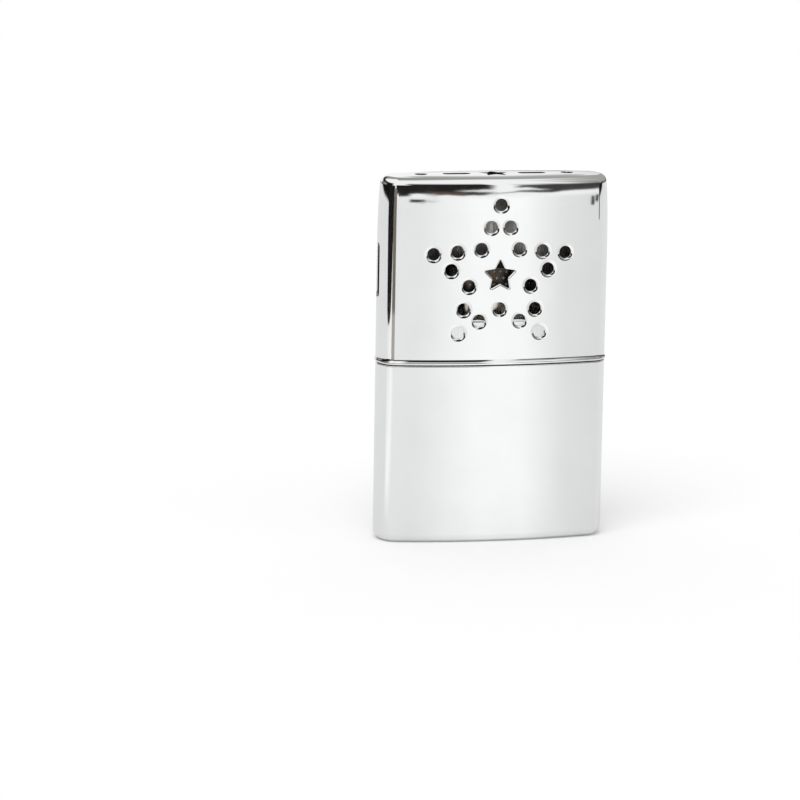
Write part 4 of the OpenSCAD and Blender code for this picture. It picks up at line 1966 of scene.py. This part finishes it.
@dataclass(frozen=True)
class Studio:
    """A pale floor, soft light and a surround that gives the chrome something to show.

    Attributes:
        panels: The room's panels.
        cards: The cards near the warmer.
        shades: The table's shade to mirrors at bearings in degrees, 0 straight in front.
        plain_shade: Its shade beside and behind the warmer.
        fan_centre: Where the shades fan out from, in metres: the front's mirror image of
            the camera.
        glow: Light that the table gives to the camera and to mirrors, so that it meets the
            white surround.
        sway: How far the room's outlines waver to mirrors, and how many times over.
        fill: Strength of the surround's light.
        floor_radius: The table's radius, in metres.
        floor_sides: Sides of its round edge.
        key_strength: Strength of the key light.
        key_width: Its angle, as broad as a softbox close by, in degrees.
        key_turn: Its turns round X, Y and Z, in degrees.
        azimuth: The camera's bearing, in degrees.
        elevation: Its height, in degrees.
        roll: Its roll, in degrees.
        distance: Its way to the target, in metres.
        target: The point it looks at, in metres.
        lens: Its focal length, in mm.
        sensor: Its sensor's width, in mm.
    """

    panels: tuple[Panel, ...] = field(default_factory=room)
    cards: tuple[Card, ...] = field(default_factory=cards)
    shades: tuple[tuple[float, str], ...] = (
        (-90, "#DCDCDC"),
        (-53, "#FEFEFE"),
        (-29, "#E8E8E8"),
        (-6, "#E8E8E8"),
        (8, "#FFFFFF"),
        (19, "#FFFFFF"),
        (29, "#E2E2E2"),
        (36, "#DCDCDC"),
    )
    plain_shade: str = "#DFDFDF"
    fan_centre: tuple[float, float, float] = (-0.0159, 0.0625, 0.0)
    glow: float = 0.1
    sway: tuple[float, float, float] = (0.07, 0.07, 0.02)
    fill: float = 0.7
    floor_radius: float = 1.4
    floor_sides: int = 96
    key_strength: float = 1.05
    key_width: float = 40.0
    key_turn: tuple[float, float, float] = (28.0, -18.0, 0.0)
    azimuth: float = -12.34
    elevation: float = 11.08
    roll: float = 0.944
    distance: float = 1.1
    target: tuple[float, float, float] = (-0.025878, 0.0, 0.039598)
    lens: float = 175.77
    sensor: float = 36.0

    def build(self) -> None:
        """Makes the surround, the floor, the cards, the light and the camera."""
        bpy.context.scene.view_settings.view_transform = "Standard"
        self.world()
        self.floor()
        for card in self.cards:
            card.build()
        self.light()
        self.camera()

    def bearing(self, tree: Tree, way: object) -> tuple[Node, Socket]:
        """Works out where a direction points.

        Args:
            tree: The node tree.
            way: The direction.

        Returns:
            Its azimuth, 0 straight out from the front and growing to the right, and its Z.
        """
        split = add_node(tree, "SeparateXYZ", {"Vector": way})
        front = add_node(tree, "Math", {0: split.outputs["Y"], 1: -1.0}, {"operation": "MULTIPLY"})
        sides = {0: split.outputs["X"], 1: front}
        return add_node(tree, "Math", sides, {"operation": "ARCTAN2"}), split.outputs["Z"]

    def shade(self, tree: Tree, azimuth: Node) -> Node:
        """Gives the table's shade, as mirrors see it, in a direction.

        Args:
            tree: The node tree.
            azimuth: The direction's azimuth, in radians.

        Returns:
            The shade.
        """
        span = {"Value": azimuth, "From Min": -math.pi, "From Max": math.pi}
        share = add_node(tree, "MapRange", span)
        stops = [((angle + 180) / 360, tone) for angle, tone in self.shades]
        return add_node(tree, "ValToRGB", {"Fac": share}, {"stops": stops})

    def world(self) -> None:
        """Makes the surround: white to the camera, and to mirrors a white room.

        Its darker walls, doorways and furniture are soft-edged panels of directions.
        """
        world = bpy.data.worlds.new("studio_surround")
        bpy.context.scene.world = world
        world.use_nodes = True
        tree = world.node_tree
        tree.nodes.clear()
        way = add_node(tree, "TexCoord").outputs["Generated"]
        ripple = add_node(tree, "TexNoise", {"Vector": way, "Scale": 7.0, "Detail": 2.0})
        back = tuple(-reach / 2 for reach in self.sway)
        shaken = {0: ripple.outputs["Color"], 1: self.sway, 2: back}
        shake = add_node(tree, "VectorMath", shaken, {"operation": "MULTIPLY_ADD"})
        moved = add_node(tree, "VectorMath", {0: way, 1: shake}, {"operation": "ADD"})
        azimuth, sine = self.bearing(tree, moved)
        elevation = add_node(tree, "Math", {0: sine}, {"operation": "ARCSINE"})
        # Below the horizon the table goes on, in the same shades and with the same glow.
        still, height = self.bearing(tree, way)
        glowing = {0: self.shade(tree, still), 1: (0.98,) * 3, 2: (self.glow,) * 3}
        table = add_node(tree, "VectorMath", glowing, {"operation": "MULTIPLY_ADD"})
        span = {"Value": height, "From Min": -0.01, "From Max": -0.03}
        below = add_node(tree, "MapRange", span, SMOOTH)
        colour = add_node(tree, "Mix", {0: below, 6: WHITE, 7: table}, {"data_type": "RGBA"})
        for panel in self.panels:
            colour = panel.paint(tree, azimuth, elevation, colour)
        glossy = add_node(tree, "Background", {"Color": colour, "Strength": 1.0})
        plain = add_node(tree, "Background", {"Color": WHITE, "Strength": self.fill})
        white = add_node(tree, "Background", {"Color": WHITE, "Strength": 1.0})
        ray = add_node(tree, "LightPath").outputs
        straight = {0: ray["Is Camera Ray"], 1: ray["Is Transmission Ray"]}
        seen = add_node(tree, "Math", straight, {"operation": "MAXIMUM"})
        lit = add_node(tree, "MixShader", {0: ray["Is Glossy Ray"], 1: plain, 2: glossy})
        whole = add_node(tree, "MixShader", {0: seen, 1: lit, 2: white})
        add_node(tree, "OutputWorld", {"Surface": whole})

    def floor(self) -> None:
        """Makes the round white table top that the warmer stands on.

        It is a little brighter to the camera and to mirrors, so that it meets the white
        surround and keeps its shadow; mirrors see it shaded to either side.
        """
        finish = Finish("white_table", "#F7F7F6", roughness=0.9)
        material, tree, place = finish.start()
        away = {0: place, 1: self.fan_centre}
        fan = add_node(tree, "VectorMath", away, {"operation": "SUBTRACT"})
        fanned = self.shade(tree, self.bearing(tree, fan)[0])
        # Beside and behind the warmer the table is one plain shade.
        depth = add_node(tree, "SeparateXYZ", {"Vector": place}).outputs["Y"]
        span = {"Value": depth, "From Min": -0.02, "From Max": 0.004}
        behind = add_node(tree, "MapRange", span, SMOOTH)
        tones = {0: behind, 6: fanned, 7: linear(self.plain_shade)}
        shade = add_node(tree, "Mix", tones, {"data_type": "RGBA"})
        cloud = add_node(tree, "TexNoise", {"Vector": place, "Scale": 5.0, "Detail": 2.0})
        tones = {0: cloud, 6: linear("#F9F9F9"), 7: linear("#F6F6F6")}
        plain = add_node(tree, "Mix", tones, {"data_type": "RGBA"})
        ray = add_node(tree, "LightPath").outputs
        tones = {0: ray["Is Glossy Ray"], 6: plain, 7: shade}
        tint = add_node(tree, "Mix", tones, {"data_type": "RGBA"})
        glow: object = 0.0
        for name in ("Is Camera Ray", "Is Transmission Ray", "Is Glossy Ray"):
            lifted = {0: ray[name], 1: self.glow, 2: glow}
            glow = add_node(tree, "Math", lifted, {"operation": "MULTIPLY_ADD"})
        inputs = {"Base Color": tint, "Specular IOR Level": 0.1}
        finish.complete(material, {**inputs, "Emission Color": WHITE, "Emission Strength": glow})
        a = np.linspace(0, 2 * np.pi, self.floor_sides, endpoint=False)
        ring = self.floor_radius / MM * np.stack([np.cos(a), np.sin(a), 0 * a], axis=1)
        points = np.concatenate([[[0.0, 0.0, 0.0]], ring])
        skin = Skin("table_top")
        skin.fan(points, np.repeat([[0.0, 0.0, 1.0]], len(points), axis=0))
        skin.build([material])

    def light(self) -> None:
        """Makes the soft key light, high on the left, which mirrors don't see."""
        data = bpy.data.lights.new("soft_key", "SUN")
        data.energy = self.key_strength
        data.angle = math.radians(self.key_width)
        key = bpy.data.objects.new("soft_key", data)
        key.rotation_euler = [math.radians(turn) for turn in self.key_turn]
        key.visible_glossy = False
        bpy.context.scene.collection.objects.link(key)

    def camera(self) -> None:
        """Makes the camera, on a sphere round its target, with its small roll."""
        a, e, r = (math.radians(v) for v in (self.azimuth, self.elevation, self.roll))
        back = Vector((math.sin(a) * math.cos(e), -math.cos(a) * math.cos(e), math.sin(e)))
        right = Vector((math.cos(a), math.sin(a), 0.0))
        up = back.cross(right)
        turned = right * math.cos(r) + up * math.sin(r)
        upright = up * math.cos(r) - right * math.sin(r)
        data = bpy.data.cameras.new("portrait")
        data.sensor_width = self.sensor
        data.lens = self.lens
        obj = bpy.data.objects.new("portrait", data)
        bpy.context.scene.collection.objects.link(obj)
        turn = Matrix((turned, upright, back)).transposed().to_4x4()
        obj.matrix_world = Matrix.Translation(Vector(self.target) + back * self.distance) @ turn
        bpy.context.scene.camera = obj


# ---------------- everything together


def main() -> None:
    """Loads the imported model, dresses each sub-assembly and sets the studio."""
    logging.basicConfig(level=logging.INFO, format="%(name)s: %(message)s")
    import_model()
    casing = Casing()
    chrome = BrightChrome("bright_chrome", "#F4F5F5", 1.0, 0.035).dress()
    dull = RubbedMetal("unpolished_plate", "#D6D4D0", 1.0, 0.4, dulled="#B9B6B0").dress()
    # Plate that was never buffed still mirrors the holes' light inside the lid.
    inside_plate = RubbedMetal("inside_plate", "#D2D0CC", 1.0, 0.22, dulled="#B0ADA7").dress()
    rubbed = RubbedMetal("rubbed_chrome", "#E6E8E9", 1.0, 0.08, dulled="#DEDFDC").dress()
    nickel = RubbedMetal("nickel_plate", "#DDD9CF", 1.0, 0.12, dulled="#C4BEB0").dress()
    # Painted shade in the groove under the lid's rim: a matt near-black line that stands in for
    # the shade in that recess.
    groove_shade = RubbedMetal("painted_groove_shade", "#262422", 0.0, 0.6, dulled="#161514").dress()
    browned = HeatedSteel("browned_steel", "#6B6864", 1.0, 0.36).dress()
    wire = RubbedMetal("steel_wire", "#9B9993", 1.0, 0.35, dulled="#77736A").dress()
    glass = Fibre("glass_fibre", "#F6F5F1", roughness=0.95).dress()
    felt = Fibre("wool_felt", "#E3DCCB", roughness=0.95, stain="#C9BFA9").dress()
    cotton = Fibre("cotton_wool", "#F3F0E8", roughness=0.95, strand_mm=0.5).dress()

    Lid(casing).build(chrome, inside_plate)
    Tank(casing).build(chrome, dull, groove_shade)
    Collar(casing).build(rubbed, dull)
    Neck().build(nickel)
    burner = Burner()
    burner.build_skirt(nickel)
    burner.build_cover(browned)
    burner.build_screen(wire)
    burner.build_mat(glass)
    FuelStore(casing).build(cotton, felt)
    Studio().build()


if __name__ == "__main__":
    main()
